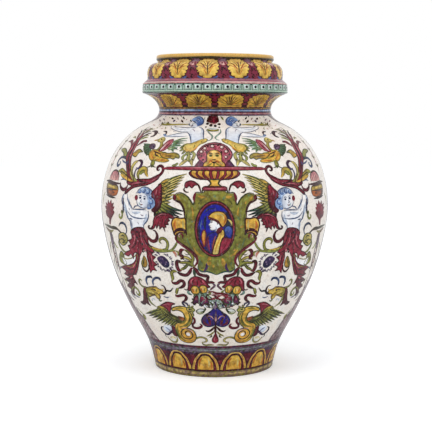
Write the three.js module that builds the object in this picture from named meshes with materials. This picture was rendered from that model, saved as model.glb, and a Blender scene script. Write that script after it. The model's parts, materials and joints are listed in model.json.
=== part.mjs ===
// A tin-glazed earthenware (maiolica) vase, in millimetres, +Z up, standing on z = 0.
//
// A pot of this size is too tall to throw in one go. The potter throws it as rings and a foot disc,
// lets them stiffen, cuts a step into each rim, and lutes them one on another with liquid clay.
// Each thrown ring is a mesh here. A ring's rim carries an outer ledge, which bears the next ring,
// and an inner tongue, which centres it. One vessel profile runs through all of them.
import * as THREE from "three";

// Heights of the luted pieces, from the foot up.
const FOOT_HEIGHT = 11.5;
const LOWER_BODY_HEIGHT = 246.5;
const SHOULDER_HEIGHT = 153;
const NECK_HEIGHT = 29;
const BAND_HEIGHT = 16.5;
const COLLAR_HEIGHT = 33;
const LIP_HEIGHT = 10.5;

// Outer radii.
const FOOT_RADIUS = 95.5;
const BELLY_RADIUS = 182;
const NECK_RADIUS = 89.1;
const BAND_LOWER_RADIUS = 116;
const BAND_UPPER_RADIUS = 114.8;
const COLLAR_RADIUS = 107.9;
const LIP_RADIUS = 93.4;

// The lower body's bend, where its flare passes into its belly: shares of its swell and height,
// the slope there, and how far the flare and the belly keep that slope.
const BEND_OUT = 0.669;
const BEND_UP = 0.53;
const BEND_SLOPE = THREE.MathUtils.degToRad(66.5);
const FLARE_REACH = 0.35;
const BELLY_REACH = 0.174;
const FOOT_SPREAD = 0.115;
const FOOT_STAND = 0.224;
const BELLY_STAND = 0.096;

// The shoulder's turn, where it is flattest: shares of its draw-in and rise, with its slope.
const TURN_OUT = 0.3165;
const TURN_DOWN = 0.169;
const TURN_SLOPE = THREE.MathUtils.degToRad(-29.8);
const SHOULDER_REACH = 0.497;
const WAIST_REACH = 0.172;
const SHOULDER_STAND = 0.397;
const WAIST_STAND = 0.092;

// The neck's hollow: how far it stands upright, and where it levels out under the band.
const HOLLOW_STAND = 0.555;
const HOLLOW_OUT = 0.67;
const HOLLOW_UP = 0.925;

// The collar's swell, and how far its sides stand upright.
const SWELL_UP = 0.3;
const SWELL_STAND = 0.62;
const SWELL_CROWN = 0.65;

// Walls and the foot's underside.
const BODY_WALL = 9;
const COLLAR_WALL = 8.5;
const LIP_WALL = 10.5;
const FOOT_RIM_WIDTH = 15;
const FOOT_RECESS = 5;

// Edges, softened by the sponge and the glaze.
const FOOT_BEVEL = 1.5;
const BAND_BEVEL = 1.4;
const LIP_ROUNDING = 3.4;
const LIP_GROOVE_DEPTH = 2.6;
const LIP_GROOVE_HEIGHT = 1.8;
const LIP_BEVEL = 1;
const FILLET_HEIGHT = 5;
const FILLET_STEP = 0.4;

// The luted joints: how far a tongue stands up, and the room that the slip fills round it.
const TONGUE_HEIGHT = 5;
const SLIP_GAP = 0.3;

// The painted glaze: its main colour on each ring, and its gloss.
const OLIVE = 0xa08a3c;
const CREAM = 0xe6ded2;
const MAROON = 0x7a2438;
const TEAL = 0x8db09c;
const OCHRE = 0xc79a3a;
const GLAZE_ROUGHNESS = 0.25;

// Facets of the turned surfaces.
const SIDES = 56;
const FLARE_ROWS = 7;
const BELLY_ROWS = 5;
const SHOULDER_ROWS = 10;
const WAIST_ROWS = 5;
const HOLLOW_ROWS = 7;
const COLLAR_ROWS = 8;
const LINING_ROWS = 5;
const LIP_ROWS = 3;

// Where each luted joint lies.
const footTop = FOOT_HEIGHT;
const bellyZ = footTop + LOWER_BODY_HEIGHT;
const shoulderTop = bellyZ + SHOULDER_HEIGHT;
const neckTop = shoulderTop + NECK_HEIGHT;
const bandTop = neckTop + BAND_HEIGHT;
const collarTop = bandTop + COLLAR_HEIGHT;
const rimTop = collarTop + LIP_HEIGHT;

// The waist of the neck lies just above the shoulder's rim.
const waistZ = shoulderTop + TONGUE_HEIGHT / 2;

const point = (radius, height) => new THREE.Vector2(radius, height);

// A smooth stretch of profile, as points, between two ends and two handles.
function curve(start, startHandle, endHandle, end, rows) {
  return new THREE.CubicBezierCurve(start, startHandle, endHandle, end).getPoints(rows);
}

// The radius of a profile line at a height. The line climbs from its first point to its last.
function radiusAt(line, height) {
  let upper = line.findIndex((p) => p.y >= height);
  if (upper < 0) upper = line.length - 1;
  upper = Math.max(upper, 1);
  const [a, b] = [line[upper - 1], line[upper]];
  const share = (height - a.y) / Math.max(b.y - a.y, 1e-6);
  return a.x + (b.x - a.x) * Math.min(Math.max(share, 0), 1);
}

// The stretch of a rising profile line between two heights.
function between(line, from, to) {
  const inner = line.filter((p) => p.y > from + 0.5 && p.y < to - 0.5);
  return [point(radiusAt(line, from), from), ...inner, point(radiusAt(line, to), to)];
}

// A line moved towards the axis by a wall's thickness, square to itself.
function offsetInwards(line, wall) {
  return line.map((p, i) => {
    const before = line[Math.max(i - 1, 0)];
    const after = line[Math.min(i + 1, line.length - 1)];
    const along = after.clone().sub(before).normalize();
    return point(p.x - along.y * wall, p.y + along.x * wall);
  });
}

// A point at a distance and an angle from another one, the angle measured up from level.
function handle(from, angle, distance) {
  return point(from.x + distance * Math.cos(angle), from.y + distance * Math.sin(angle));
}

// The lower body flares from the foot along a nearly straight slope, then swells to the belly.
const lowerOutside = (() => {
  const swell = BELLY_RADIUS - FOOT_RADIUS;
  const bend = point(FOOT_RADIUS + BEND_OUT * swell, BEND_UP * bellyZ);
  const flare = curve(
    point(FOOT_RADIUS, 0),
    point(FOOT_RADIUS + FOOT_SPREAD * swell, FOOT_STAND * bellyZ),
    handle(bend, BEND_SLOPE, -FLARE_REACH * bellyZ),
    bend,
    FLARE_ROWS,
  );
  const belly = curve(
    bend,
    handle(bend, BEND_SLOPE, BELLY_REACH * bellyZ),
    point(BELLY_RADIUS, (1 - BELLY_STAND) * bellyZ),
    point(BELLY_RADIUS, bellyZ),
    BELLY_ROWS,
  );
  return [...flare, ...belly.slice(1)];
})();

// The upper body turns over at the shoulder, then turns up again into the waist of the neck.
const upperOutside = (() => {
  const rise = waistZ - bellyZ;
  const drawnIn = BELLY_RADIUS - NECK_RADIUS;
  const turn = point(NECK_RADIUS + TURN_OUT * drawnIn, waistZ - TURN_DOWN * rise);
  const overShoulder = curve(
    point(BELLY_RADIUS, bellyZ),
    point(BELLY_RADIUS, bellyZ + SHOULDER_STAND * rise),
    handle(turn, TURN_SLOPE, SHOULDER_REACH * drawnIn),
    turn,
    SHOULDER_ROWS,
  );
  const intoNeck = curve(
    turn,
    handle(turn, TURN_SLOPE, -WAIST_REACH * drawnIn),
    point(NECK_RADIUS, waistZ - WAIST_STAND * rise),
    point(NECK_RADIUS, waistZ),
    WAIST_ROWS,
  );
  return [...overShoulder, ...intoNeck.slice(1)];
})();

// The neck is a hollow moulding that sweeps out nearly flat under the band.
const neckOutside = (() => {
  const bandEdge = BAND_LOWER_RADIUS - BAND_BEVEL;
  const sweep = bandEdge - NECK_RADIUS;
  const rise = neckTop - waistZ;
  return curve(
    point(NECK_RADIUS, waistZ),
    point(NECK_RADIUS, waistZ + HOLLOW_STAND * rise),
    point(NECK_RADIUS + HOLLOW_OUT * sweep, waistZ + HOLLOW_UP * rise),
    point(bandEdge, neckTop),
    HOLLOW_ROWS,
  );
})();

const bodyOutside = [...lowerOutside, ...upperOutside.slice(1), ...neckOutside.slice(1)];

// The inner line of the whole vessel, from the floor to the lip. Fingers thin the wall evenly, so
// it follows the outside with fewer facets, and it is wide behind the collar.
const inside = (() => {
  const throatRadius = NECK_RADIUS - BODY_WALL;
  const collarBore = COLLAR_RADIUS - COLLAR_WALL;
  const lipBore = LIP_RADIUS - LIP_WALL;
  const wall = offsetInwards([...lowerOutside, ...upperOutside.slice(1)], BODY_WALL);
  const body = wall.filter((p, i) => i % 2 === 0 && p.y < waistZ - BODY_WALL / 2);
  const throat = curve(
    point(throatRadius, waistZ),
    point(throatRadius, neckTop - NECK_HEIGHT / 2),
    point(collarBore, neckTop - NECK_HEIGHT / 4),
    point(collarBore, neckTop + BAND_HEIGHT / 2),
    LINING_ROWS,
  );
  const undercut = curve(
    point(collarBore, bandTop + COLLAR_HEIGHT / 6),
    point(collarBore, collarTop - COLLAR_HEIGHT / 3),
    point(lipBore, collarTop - COLLAR_HEIGHT / 3),
    point(lipBore, collarTop),
    LINING_ROWS,
  );
  return [...body, ...throat, ...undercut, point(lipBore, rimTop)];
})();

// The wall's inside and outside radius at a joint share it evenly between ledge and tongue.
function joint(height, outsideRadius) {
  const insideRadius = radiusAt(inside, height + TONGUE_HEIGHT / 2);
  return { height, tongueRadius: (outsideRadius + insideRadius) / 2 };
}

const grooveRadius = LIP_RADIUS - LIP_GROOVE_DEPTH;
const jointAtFoot = joint(footTop, radiusAt(bodyOutside, footTop));
const jointAtBelly = joint(bellyZ, BELLY_RADIUS);
const jointAtNeck = joint(shoulderTop, radiusAt(bodyOutside, shoulderTop));
const jointAtBand = joint(neckTop, BAND_LOWER_RADIUS - BAND_BEVEL);
const jointAtCollar = joint(bandTop, COLLAR_RADIUS);
const jointAtLip = joint(collarTop, grooveRadius);

// The recess cut into a ring's foot, which fits over the tongue below with room for slip.
function seat(below) {
  const ceiling = below.height + TONGUE_HEIGHT + SLIP_GAP;
  return [
    point(radiusAt(inside, ceiling), ceiling),
    point(below.tongueRadius + SLIP_GAP, ceiling),
    point(below.tongueRadius + SLIP_GAP, below.height),
  ];
}

// The ledge and the tongue on a ring's rim, with the top of the tongue out to the inner wall.
function rim(above) {
  const crest = above.height + TONGUE_HEIGHT;
  return [
    point(above.tongueRadius, above.height),
    point(above.tongueRadius, crest),
    point(radiusAt(inside, crest), crest),
  ];
}

// The inner wall of a ring, from its tongue's top down to its recess's ceiling.
function lining(below, above) {
  const crest = above.height + TONGUE_HEIGHT;
  const ceiling = below.height + TONGUE_HEIGHT + SLIP_GAP;
  return between(inside, ceiling, crest).slice(1, -1).reverse();
}

// Turns a profile round the vase's axis. The profile climbs outside and comes down inside.
function turned(name, profile, colour, roughness) {
  const closed = profile[0].x > 0 ? [...profile, profile[0]] : profile;
  const geometry = new THREE.LatheGeometry(closed, SIDES);
  geometry.rotateX(Math.PI / 2);
  const material = new THREE.MeshStandardMaterial({ color: colour, roughness, metalness: 0 });
  const mesh = new THREE.Mesh(geometry, material);
  mesh.name = name;
  return mesh;
}

// A ring between two joints, with its own outer line.
function ring(name, below, outside, above, colour) {
  const profile = [...seat(below), ...outside, ...rim(above), ...lining(below, above)];
  return turned(name, profile, colour, GLAZE_ROUGHNESS);
}

// The foot: a disc that closes the pot, with a turned ring to stand on.
function foot() {
  const floorTop = footTop + TONGUE_HEIGHT;
  const rimInside = FOOT_RADIUS - FOOT_RIM_WIDTH;
  const profile = [
    point(0, FOOT_RECESS),
    point(rimInside - FOOT_BEVEL, FOOT_RECESS),
    point(rimInside, 0),
    point(FOOT_RADIUS - FOOT_BEVEL, 0),
    ...between(bodyOutside, FOOT_BEVEL, footTop),
    point(jointAtFoot.tongueRadius, footTop),
    point(jointAtFoot.tongueRadius, floorTop),
    point(0, floorTop),
  ];
  return turned("foot", profile, OLIVE, GLAZE_ROUGHNESS);
}

// The lower half of the body, from the foot's ledge to the widest place.
function lowerBody() {
  return ring("lower_body", jointAtFoot, between(bodyOutside, footTop, bellyZ), jointAtBelly, CREAM);
}

// The upper half, drawn in to the neck.
function shoulder() {
  return ring("shoulder", jointAtBelly, between(bodyOutside, bellyZ, shoulderTop), jointAtNeck, CREAM);
}

// The neck's hollow moulding.
function neck() {
  return ring("neck", jointAtNeck, between(bodyOutside, shoulderTop, neckTop), jointAtBand, MAROON);
}

// The flat band that projects round the mouth, leaning in a little towards its top.
function band() {
  const outside = [
    point(BAND_LOWER_RADIUS - BAND_BEVEL, neckTop),
    point(BAND_LOWER_RADIUS, neckTop + BAND_BEVEL),
    point(BAND_UPPER_RADIUS, bandTop - BAND_BEVEL),
    point(BAND_UPPER_RADIUS - BAND_BEVEL, bandTop),
  ];
  return ring("mouth_band", jointAtBand, outside, jointAtCollar, TEAL);
}

// The swelling collar: a sloping fillet above the band, then a round moulding under the lip.
function collar() {
  const filletTop = bandTop + FILLET_HEIGHT;
  const swellZ = filletTop + SWELL_UP * (collarTop - filletTop);
  const grooveTop = collarTop - LIP_GROOVE_HEIGHT;
  const swelling = curve(
    point(COLLAR_RADIUS, swellZ),
    point(COLLAR_RADIUS, swellZ + SWELL_STAND * (grooveTop - swellZ)),
    point(grooveRadius + SWELL_CROWN * (COLLAR_RADIUS - grooveRadius), grooveTop),
    point(grooveRadius, grooveTop),
    COLLAR_ROWS,
  );
  const outside = [
    point(BAND_UPPER_RADIUS - BAND_BEVEL, bandTop),
    point(COLLAR_RADIUS - FILLET_STEP, filletTop),
    ...swelling,
    point(grooveRadius, collarTop),
  ];
  return ring("collar", jointAtCollar, outside, jointAtLip, MAROON);
}

// The lip: a flat-topped bead with rounded edges, above its groove.
function lip() {
  const bore = LIP_RADIUS - LIP_WALL;
  const bead = collarTop + LIP_GROOVE_HEIGHT;
  const corner = (centreRadius, from, to) =>
    Array.from({ length: LIP_ROWS + 1 }, (_, i) => {
      const angle = from + ((to - from) * i) / LIP_ROWS;
      const centreZ = rimTop - LIP_ROUNDING;
      return point(
        centreRadius + LIP_ROUNDING * Math.cos(angle),
        centreZ + LIP_ROUNDING * Math.sin(angle),
      );
    });
  const profile = [
    ...seat(jointAtLip),
    point(grooveRadius, collarTop),
    point(grooveRadius, bead),
    point(LIP_RADIUS - LIP_BEVEL, bead),
    point(LIP_RADIUS, bead + LIP_BEVEL),
    ...corner(LIP_RADIUS - LIP_ROUNDING, 0, Math.PI / 2),
    ...corner(bore + LIP_ROUNDING, Math.PI / 2, Math.PI),
  ];
  return turned("lip", profile, OCHRE, GLAZE_ROUGHNESS);
}

const vase = new THREE.Group();
vase.add(foot(), lowerBody(), shoulder(), neck(), band(), collar(), lip());

export default vase;
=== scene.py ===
# %% [markdown]
# # A painted maiolica vase
# The vase is earthenware, thrown on the wheel in rings, dipped in a white tin glaze and painted
# over the raw glaze with metal oxides before one last firing. This lesson turns the rings with
# Geometry Nodes, mixes a glaze material, and then paints: every brush mark is a thin piece of
# mesh that lies some tenths of a millimetre above the glaze and carries its pigment at its points.

# %% Load the frame
import json
import math
import random

import bmesh
import bpy
import numpy as np
from mathutils import Matrix, Vector, noise
from mathutils.geometry import delaunay_2d_cdt

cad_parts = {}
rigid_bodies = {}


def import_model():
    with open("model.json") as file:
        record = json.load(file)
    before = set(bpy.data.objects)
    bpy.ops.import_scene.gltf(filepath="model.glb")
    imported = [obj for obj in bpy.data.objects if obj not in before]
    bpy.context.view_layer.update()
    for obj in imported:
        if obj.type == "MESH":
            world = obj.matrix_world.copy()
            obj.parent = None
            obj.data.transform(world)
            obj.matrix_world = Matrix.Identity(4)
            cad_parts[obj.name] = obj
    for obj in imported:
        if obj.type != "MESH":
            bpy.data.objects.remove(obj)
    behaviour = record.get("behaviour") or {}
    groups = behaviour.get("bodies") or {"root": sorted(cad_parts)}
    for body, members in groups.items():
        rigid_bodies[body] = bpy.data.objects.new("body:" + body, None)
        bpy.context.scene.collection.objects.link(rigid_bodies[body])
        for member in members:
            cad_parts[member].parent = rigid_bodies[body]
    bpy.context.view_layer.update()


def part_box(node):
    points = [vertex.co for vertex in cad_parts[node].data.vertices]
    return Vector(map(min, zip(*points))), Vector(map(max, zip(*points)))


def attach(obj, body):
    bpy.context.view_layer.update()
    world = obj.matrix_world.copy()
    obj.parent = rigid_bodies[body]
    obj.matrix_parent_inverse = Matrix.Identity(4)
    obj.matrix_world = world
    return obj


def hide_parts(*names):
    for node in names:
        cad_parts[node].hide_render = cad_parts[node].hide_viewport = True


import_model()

MM = 0.001

# %% [markdown]
# ## The line of the pot
# A thrown pot is one line turned round an axis, so the line comes first. The CAD model gives the
# heights where the rings are luted together, and the radii at the belly, the band and the lip. Its
# boxes don't tell the radii at the foot, the waist of the neck and the collar, so these are values.
# Bezier curves make the flare, the belly, the shoulder and the hollow neck, because a potter's rib
# leaves curves that flow into each other. A list of measured points would leave flats. The handles
# of the curves are shares of the sizes, so the line follows when a size changes.

# %% Read the driving sizes from the frame
def joint_height(node):
    """The height where a ring sits on the ring below, in millimetres."""
    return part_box(node)[0][2] / MM


def ring_radius(node):
    """The largest radius of a ring, in millimetres."""
    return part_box(node)[1][0] / MM


FOOT_TOP = joint_height("lower_body")
BELLY_Z = joint_height("shoulder")
SHOULDER_TOP = joint_height("neck")
NECK_TOP = joint_height("mouth_band")
BAND_TOP = joint_height("collar")
COLLAR_TOP = joint_height("lip")
RIM_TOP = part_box("lip")[1][2] / MM

BELLY_R = ring_radius("shoulder")
BAND_R = ring_radius("mouth_band")
LIP_R = ring_radius("lip")
FOOT_R = 95.5
NECK_R = 89.1
COLLAR_R = 107.9
WAIST_Z = SHOULDER_TOP + 2.5
print("joints, mm:", [round(z, 1) for z in (FOOT_TOP, BELLY_Z, SHOULDER_TOP, NECK_TOP, BAND_TOP)])


# %% Helpers for curves
def bezier(start, start_handle, end_handle, end, rows):
    """Points along a cubic curve."""
    t = np.linspace(0, 1, rows + 1)[:, None]
    p = [np.array(q, float) for q in (start, start_handle, end_handle, end)]
    s = 1 - t
    return s**3 * p[0] + 3 * s**2 * t * p[1] + 3 * s * t**2 * p[2] + t**3 * p[3]


def from_point(p, degrees, length):
    """The point at an angle and a distance from another."""
    a = math.radians(degrees)
    return (p[0] + length * math.cos(a), p[1] + length * math.sin(a))


# %% The shares and the rounded edges
BELLY_SLOPE = 66.5
SHOULDER_SLOPE = -29.8
BAND_LEAN = 1.2
BAND_ROUND = 1.4
LIP_ROUND = 3.4
GROOVE_HALF = 1.8

swell = BELLY_R - FOOT_R
bend = (FOOT_R + 0.669 * swell, 0.53 * BELLY_Z)
rise = WAIST_Z - BELLY_Z
drawn_in = BELLY_R - NECK_R
turn = (NECK_R + 0.3165 * drawn_in, WAIST_Z - 0.169 * rise)
band_edge = BAND_R - BAND_ROUND
sweep = band_edge - NECK_R
hollow = NECK_TOP - WAIST_Z
fillet_z = BAND_TOP + 5
groove_z = COLLAR_TOP - GROOVE_HALF
groove_r = LIP_R - 2.6
swell_z = fillet_z + 0.3 * (COLLAR_TOP - fillet_z)


# %% Draw the outer line
def lip_arc(centre_r, start, end):
    """A quarter circle of the rounded lip."""
    a = np.radians(np.linspace(start, end, 9))
    return np.stack([centre_r + LIP_ROUND * np.cos(a), RIM_TOP - LIP_ROUND + LIP_ROUND * np.sin(a)], 1)


flare = bezier((FOOT_R, 0), (FOOT_R + 0.115 * swell, 0.224 * BELLY_Z),
               from_point(bend, BELLY_SLOPE, -0.35 * BELLY_Z), bend, 70)
belly = bezier(bend, from_point(bend, BELLY_SLOPE, 0.174 * BELLY_Z),
               (BELLY_R, 0.904 * BELLY_Z), (BELLY_R, BELLY_Z), 60)
over_shoulder = bezier((BELLY_R, BELLY_Z), (BELLY_R, BELLY_Z + 0.397 * rise),
                       from_point(turn, SHOULDER_SLOPE, 0.497 * drawn_in), turn, 80)
into_neck = bezier(turn, from_point(turn, SHOULDER_SLOPE, -0.172 * drawn_in),
                   (NECK_R, WAIST_Z - 0.092 * rise), (NECK_R, WAIST_Z), 30)
cavetto = bezier((NECK_R, WAIST_Z), (NECK_R, WAIST_Z + 0.555 * hollow),
                 (NECK_R + 0.67 * sweep, WAIST_Z + 0.925 * hollow), (band_edge, NECK_TOP), 30)
band_face = np.array([(BAND_R, NECK_TOP + BAND_ROUND), (BAND_R - BAND_LEAN / 2, (NECK_TOP + BAND_TOP) / 2),
                      (BAND_R - BAND_LEAN, BAND_TOP - BAND_ROUND),
                      (BAND_R - BAND_LEAN - BAND_ROUND, BAND_TOP)])
fillet = np.array([(COLLAR_R - 0.4, fillet_z)])
torus = bezier((COLLAR_R, swell_z), (COLLAR_R, swell_z + 0.62 * (groove_z - swell_z)),
               (groove_r + 0.65 * (COLLAR_R - groove_r), groove_z), (groove_r, groove_z), 30)
groove = np.array([(groove_r, COLLAR_TOP), (groove_r, COLLAR_TOP + GROOVE_HALF),
                   (LIP_R - 1, COLLAR_TOP + GROOVE_HALF), (LIP_R, COLLAR_TOP + GROOVE_HALF + 1)])
outside = np.vstack([flare, belly[1:], over_shoulder[1:], into_neck[1:], cavetto[1:], band_face, fillet,
                     torus, groove, lip_arc(LIP_R - LIP_ROUND, 0, 90)])
print("outer line:", len(outside), "points")

# %% [markdown]
# ## The line inside
# The wall is about 9 mm thick. The inner line is the outer line moved in square to itself, and it
# is drawn with fewer points, because the glaze inside is plain and mostly dark.

# %% Draw the inner line
WALL = 9
COLLAR_WALL = 8.5
LIP_WALL = 10.5


def moved_in(line, wall):
    """A line moved towards the axis, square to itself."""
    along = np.gradient(line, axis=0)
    along /= np.linalg.norm(along, axis=1)[:, None]
    return line + wall * np.stack([-along[:, 1], along[:, 0]], 1)


body_inside = moved_in(np.vstack([flare, belly[1:], over_shoulder[1:], into_neck[1:]])[::6], WALL)
body_inside = body_inside[body_inside[:, 1] < WAIST_Z - 5]
collar_bore = COLLAR_R - COLLAR_WALL
lip_bore = LIP_R - LIP_WALL
throat = bezier((NECK_R - WALL, WAIST_Z), (NECK_R - WALL, NECK_TOP - 14.5),
                (collar_bore, NECK_TOP - 7), (collar_bore, NECK_TOP + 8), 12)
undercut = bezier((collar_bore, BAND_TOP + 5.5), (collar_bore, COLLAR_TOP - 11),
                  (lip_bore, COLLAR_TOP - 11), (lip_bore, COLLAR_TOP), 12)
inside = np.vstack([body_inside, throat, undercut, [(lip_bore, RIM_TOP - LIP_ROUND)]])


CUT_ROW = 0.3


def cut(line, low, high):
    """The part of a rising line between two heights, with a close row next to each cut."""
    def at(z):
        return float(np.interp(z, line[:, 1], line[:, 0])), z

    inner = [tuple(map(float, p)) for p in line if low + 2 * CUT_ROW < p[1] < high - 2 * CUT_ROW]
    return [at(low), at(low + CUT_ROW), *inner, at(high - CUT_ROW), at(high)]


print("inner line:", len(inside), "points")

# %% [markdown]
# ## Turning the rings
# Each luted ring is a closed section swept round the axis. A Screw modifier or Spin would do it
# too. A Geometry Nodes tree is kept here because seven rings share it: a small circle is the path,
# the section is the profile, and the colour of the dipped glaze travels along as an attribute of
# the section's points.

# %% Helpers for objects and node trees
def put_in_scene(name, data):
    """A new object in the scene, at the origin."""
    piece = bpy.data.objects.new(name, data)
    bpy.context.scene.collection.objects.link(piece)
    return piece


def add_node(tree, kind, inputs=None, **settings):
    """A node with its properties set, then the values of its inputs."""
    node = tree.nodes.new(kind)
    for name, value in settings.items():
        setattr(node, name, value)
    for socket, value in (inputs or {}).items():
        node.inputs[socket].default_value = value
    return node


def wire(tree, *wires):
    """Joins nodes: a node and its output, then the next node and its input."""
    for giver, given, taker, taken in wires:
        tree.links.new(giver.outputs[given], taker.inputs[taken])


def new_tree(name, sockets):
    """An empty geometry tree with named inputs and one geometry output."""
    tree = bpy.data.node_groups.new(name, "GeometryNodeTree")
    for label, kind in sockets:
        tree.interface.new_socket(label, in_out="INPUT", socket_type=kind)
    tree.interface.new_socket("Result", in_out="OUTPUT", socket_type="NodeSocketGeometry")
    return tree, add_node(tree, "NodeGroupInput"), add_node(tree, "NodeGroupOutput")


def run_tree(tree, piece, name, **values):
    """Runs a tree on an object and keeps the result as a plain mesh object."""
    modifier = piece.modifiers.new("tree", "NODES")
    modifier.node_group = tree
    for item in tree.interface.items_tree:
        if item.in_out == "INPUT" and item.name in values:
            modifier[item.identifier] = values[item.name]
    evaluated = piece.evaluated_get(bpy.context.evaluated_depsgraph_get())
    mesh = bpy.data.meshes.new_from_object(evaluated)
    bpy.data.objects.remove(piece, do_unlink=True)
    mesh.name = name
    return put_in_scene(name, mesh)


# %% The wheel: a tree that turns a section
WHEEL_R = 50
RING_SIDES = 256
MERGE_REACH = 0.002
CREASE_DEGREES = 32


def wheel_tree():
    """Sweeps a section, drawn in X and Y from a radius of WHEEL_R, round the Z axis."""
    tree, given, out = new_tree("wheel", [
        ("Section", "NodeSocketGeometry"), ("Sides", "NodeSocketInt"),
        ("Wheel radius", "NodeSocketFloat"), ("Glaze", "NodeSocketMaterial")])
    section = add_node(tree, "GeometryNodeMeshToCurve")
    circle = add_node(tree, "GeometryNodeCurvePrimitiveCircle", mode="RADIUS")
    swept = add_node(tree, "GeometryNodeCurveToMesh")
    merged = add_node(tree, "GeometryNodeMergeByDistance", {"Distance": MERGE_REACH * MM})
    smooth = add_node(tree, "GeometryNodeSetShadeSmooth", domain="FACE")
    angle = add_node(tree, "GeometryNodeInputMeshEdgeAngle")
    sharp = add_node(tree, "FunctionNodeCompare", {"B": math.radians(CREASE_DEGREES)},
                     data_type="FLOAT", operation="GREATER_THAN")
    crease = add_node(tree, "GeometryNodeSetShadeSmooth", {"Shade Smooth": False}, domain="EDGE")
    real = add_node(tree, "GeometryNodeRealizeInstances")
    painted = add_node(tree, "GeometryNodeSetMaterial")
    wire(tree, (given, "Section", section, "Mesh"), (given, "Sides", circle, "Resolution"),
         (given, "Wheel radius", circle, "Radius"), (circle, "Curve", swept, "Curve"),
         (section, "Curve", swept, "Profile Curve"), (swept, "Mesh", merged, "Geometry"),
         (merged, "Geometry", smooth, "Geometry"), (angle, "Unsigned Angle", sharp, "A"),
         (smooth, "Geometry", crease, "Geometry"), (sharp, "Result", crease, "Selection"),
         (crease, "Geometry", real, "Geometry"), (real, "Geometry", painted, "Geometry"),
         (given, "Glaze", painted, "Material"), (painted, "Geometry", out, "Result"))
    return tree


WHEEL = wheel_tree()


# %% Turn a ring on the wheel
def turn_ring(name, section, colours, glaze):
    """Turns a section of (radius, height) points, each with the colour of its glaze.

    The sweep turns the section upside down, so its heights go in as negative numbers.
    """
    mesh = bpy.data.meshes.new(name)
    count = len(section)
    edges = [(i, (i + 1) % count) for i in range(count)]
    if section[0][0] == 0:
        edges = edges[:-1]
    mesh.from_pydata([((r - WHEEL_R) * MM, -z * MM, 0) for r, z in section], edges, [])
    ground = mesh.attributes.new("ground", "FLOAT_COLOR", "POINT")
    ground.data.foreach_set("color", np.array(colours, dtype=np.float32).ravel())
    ring = run_tree(WHEEL, put_in_scene(name, mesh), name, **{
        "Sides": RING_SIDES, "Wheel radius": WHEEL_R * MM, "Glaze": glaze})
    shape = bmesh.new()
    shape.from_mesh(ring.data)
    volume = shape.calc_volume(signed=True)
    if volume < 0:
        bmesh.ops.reverse_faces(shape, faces=shape.faces)
        shape.to_mesh(ring.data)
    shape.free()
    print(f"{name}: {len(ring.data.polygons)} faces, {abs(volume) / (10 * MM)**3:.0f} cm3")
    return ring

# %% [markdown]
# ## Glazes and pigments
# The white glaze is opaque with tin, glassy, a little pink from the clay below and never quite
# even. Pigments sink into it: they pool at the edge of a brush mark, thin out in the middle and
# let the white through in streaks. An image texture could hold a painting, but a picture of it
# would blur close up. Here the white is a procedural material, and a brush mark brings its colour
# as a point attribute, so one pigment material serves the whole painting.

# %% Mix the palette
def linear(hex_code):
    """A display colour such as "#74303a" as the linear colour that the shader wants."""
    parts = [int(hex_code[i:i + 2], 16) / 255 for i in (1, 3, 5)]
    return tuple(c / 12.92 if c <= 0.04045 else ((c + 0.055) / 1.055) ** 2.4 for c in parts)


PIGMENTS = {
    "white": "#f3eeea", "body": "#e6ebf2", "mist": "#c2cee0", "sky": "#84a5d2", "blue": "#4565a6",
    "slate": "#47577c", "ink": "#1a2142", "cobalt": "#1a1c94", "purple": "#452a57", "mauve": "#76637f",
    "straw": "#d3c070", "lemon": "#e9c775", "yellow": "#dcb64c", "ochre": "#cd983a",
    "orange": "#bf6a2a", "olive": "#7f7a30", "cress": "#747c34", "moss": "#3a4220", "leaf": "#8b9145",
    "green": "#50785a", "sea": "#8fb3a4", "teal": "#2f5248", "maroon": "#6c1b2b", "crimson": "#8c2538",
    "rose": "#9c2f4a", "wine": "#390e17", "pink": "#bd6b76", "shell": "#d7a59c", "brown": "#3b1b16",
    "umber": "#7d6062", "dove": "#948286", "celadon": "#a4bbaa", "black": "#17141a",
}
COLOUR = {name: np.array(linear(code)) for name, code in PIGMENTS.items()}
print("pigments:", len(COLOUR))


# %% Helpers for materials
GLAZE = {"Roughness": 0.26, "IOR": 1.5, "Specular IOR Level": 0.05,
         "Coat Weight": 0.28, "Coat Roughness": 0.12}


def new_material(name, **values):
    """A material, its tree and its shader, which has the gloss of the glaze unless told otherwise."""
    material = bpy.data.materials.new(name)
    material.use_nodes = True
    shader = material.node_tree.nodes["Principled BSDF"]
    for socket, value in {**GLAZE, **values}.items():
        shader.inputs[socket].default_value = value
    return material, material.node_tree, shader


def noise_on_object(tree, scale, detail, stretch=(1, 1, 1)):
    """Noise that stays with the pot, in object coordinates."""
    where = add_node(tree, "ShaderNodeTexCoord")
    mapping = add_node(tree, "ShaderNodeMapping", {"Scale": stretch})
    clouds = add_node(tree, "ShaderNodeTexNoise", {"Scale": scale, "Detail": detail})
    wire(tree, (where, "Object", mapping, "Vector"), (mapping, "Vector", clouds, "Vector"))
    return clouds.outputs["Fac"]


def remap(tree, value, low, high, to_low=0.0, to_high=1.0):
    """A value spread from one range to another and held inside it."""
    node = add_node(tree, "ShaderNodeMapRange", {
        "From Min": low, "From Max": high, "To Min": to_low, "To Max": to_high})
    tree.links.new(value, node.inputs["Value"])
    return node.outputs["Result"]


def blend_colours(tree, factor, first, second, mode="MIX"):
    """A Mix node of two colours, each a socket or a plain colour."""
    node = add_node(tree, "ShaderNodeMix", data_type="RGBA", blend_type=mode)
    for socket, value in ((node.inputs[0], factor), (node.inputs[6], first), (node.inputs[7], second)):
        if isinstance(value, bpy.types.NodeSocket):
            tree.links.new(value, socket)
        elif isinstance(value, (int, float)):
            socket.default_value = value
        else:
            socket.default_value = (*value, 1)
    return node.outputs[2]


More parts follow.
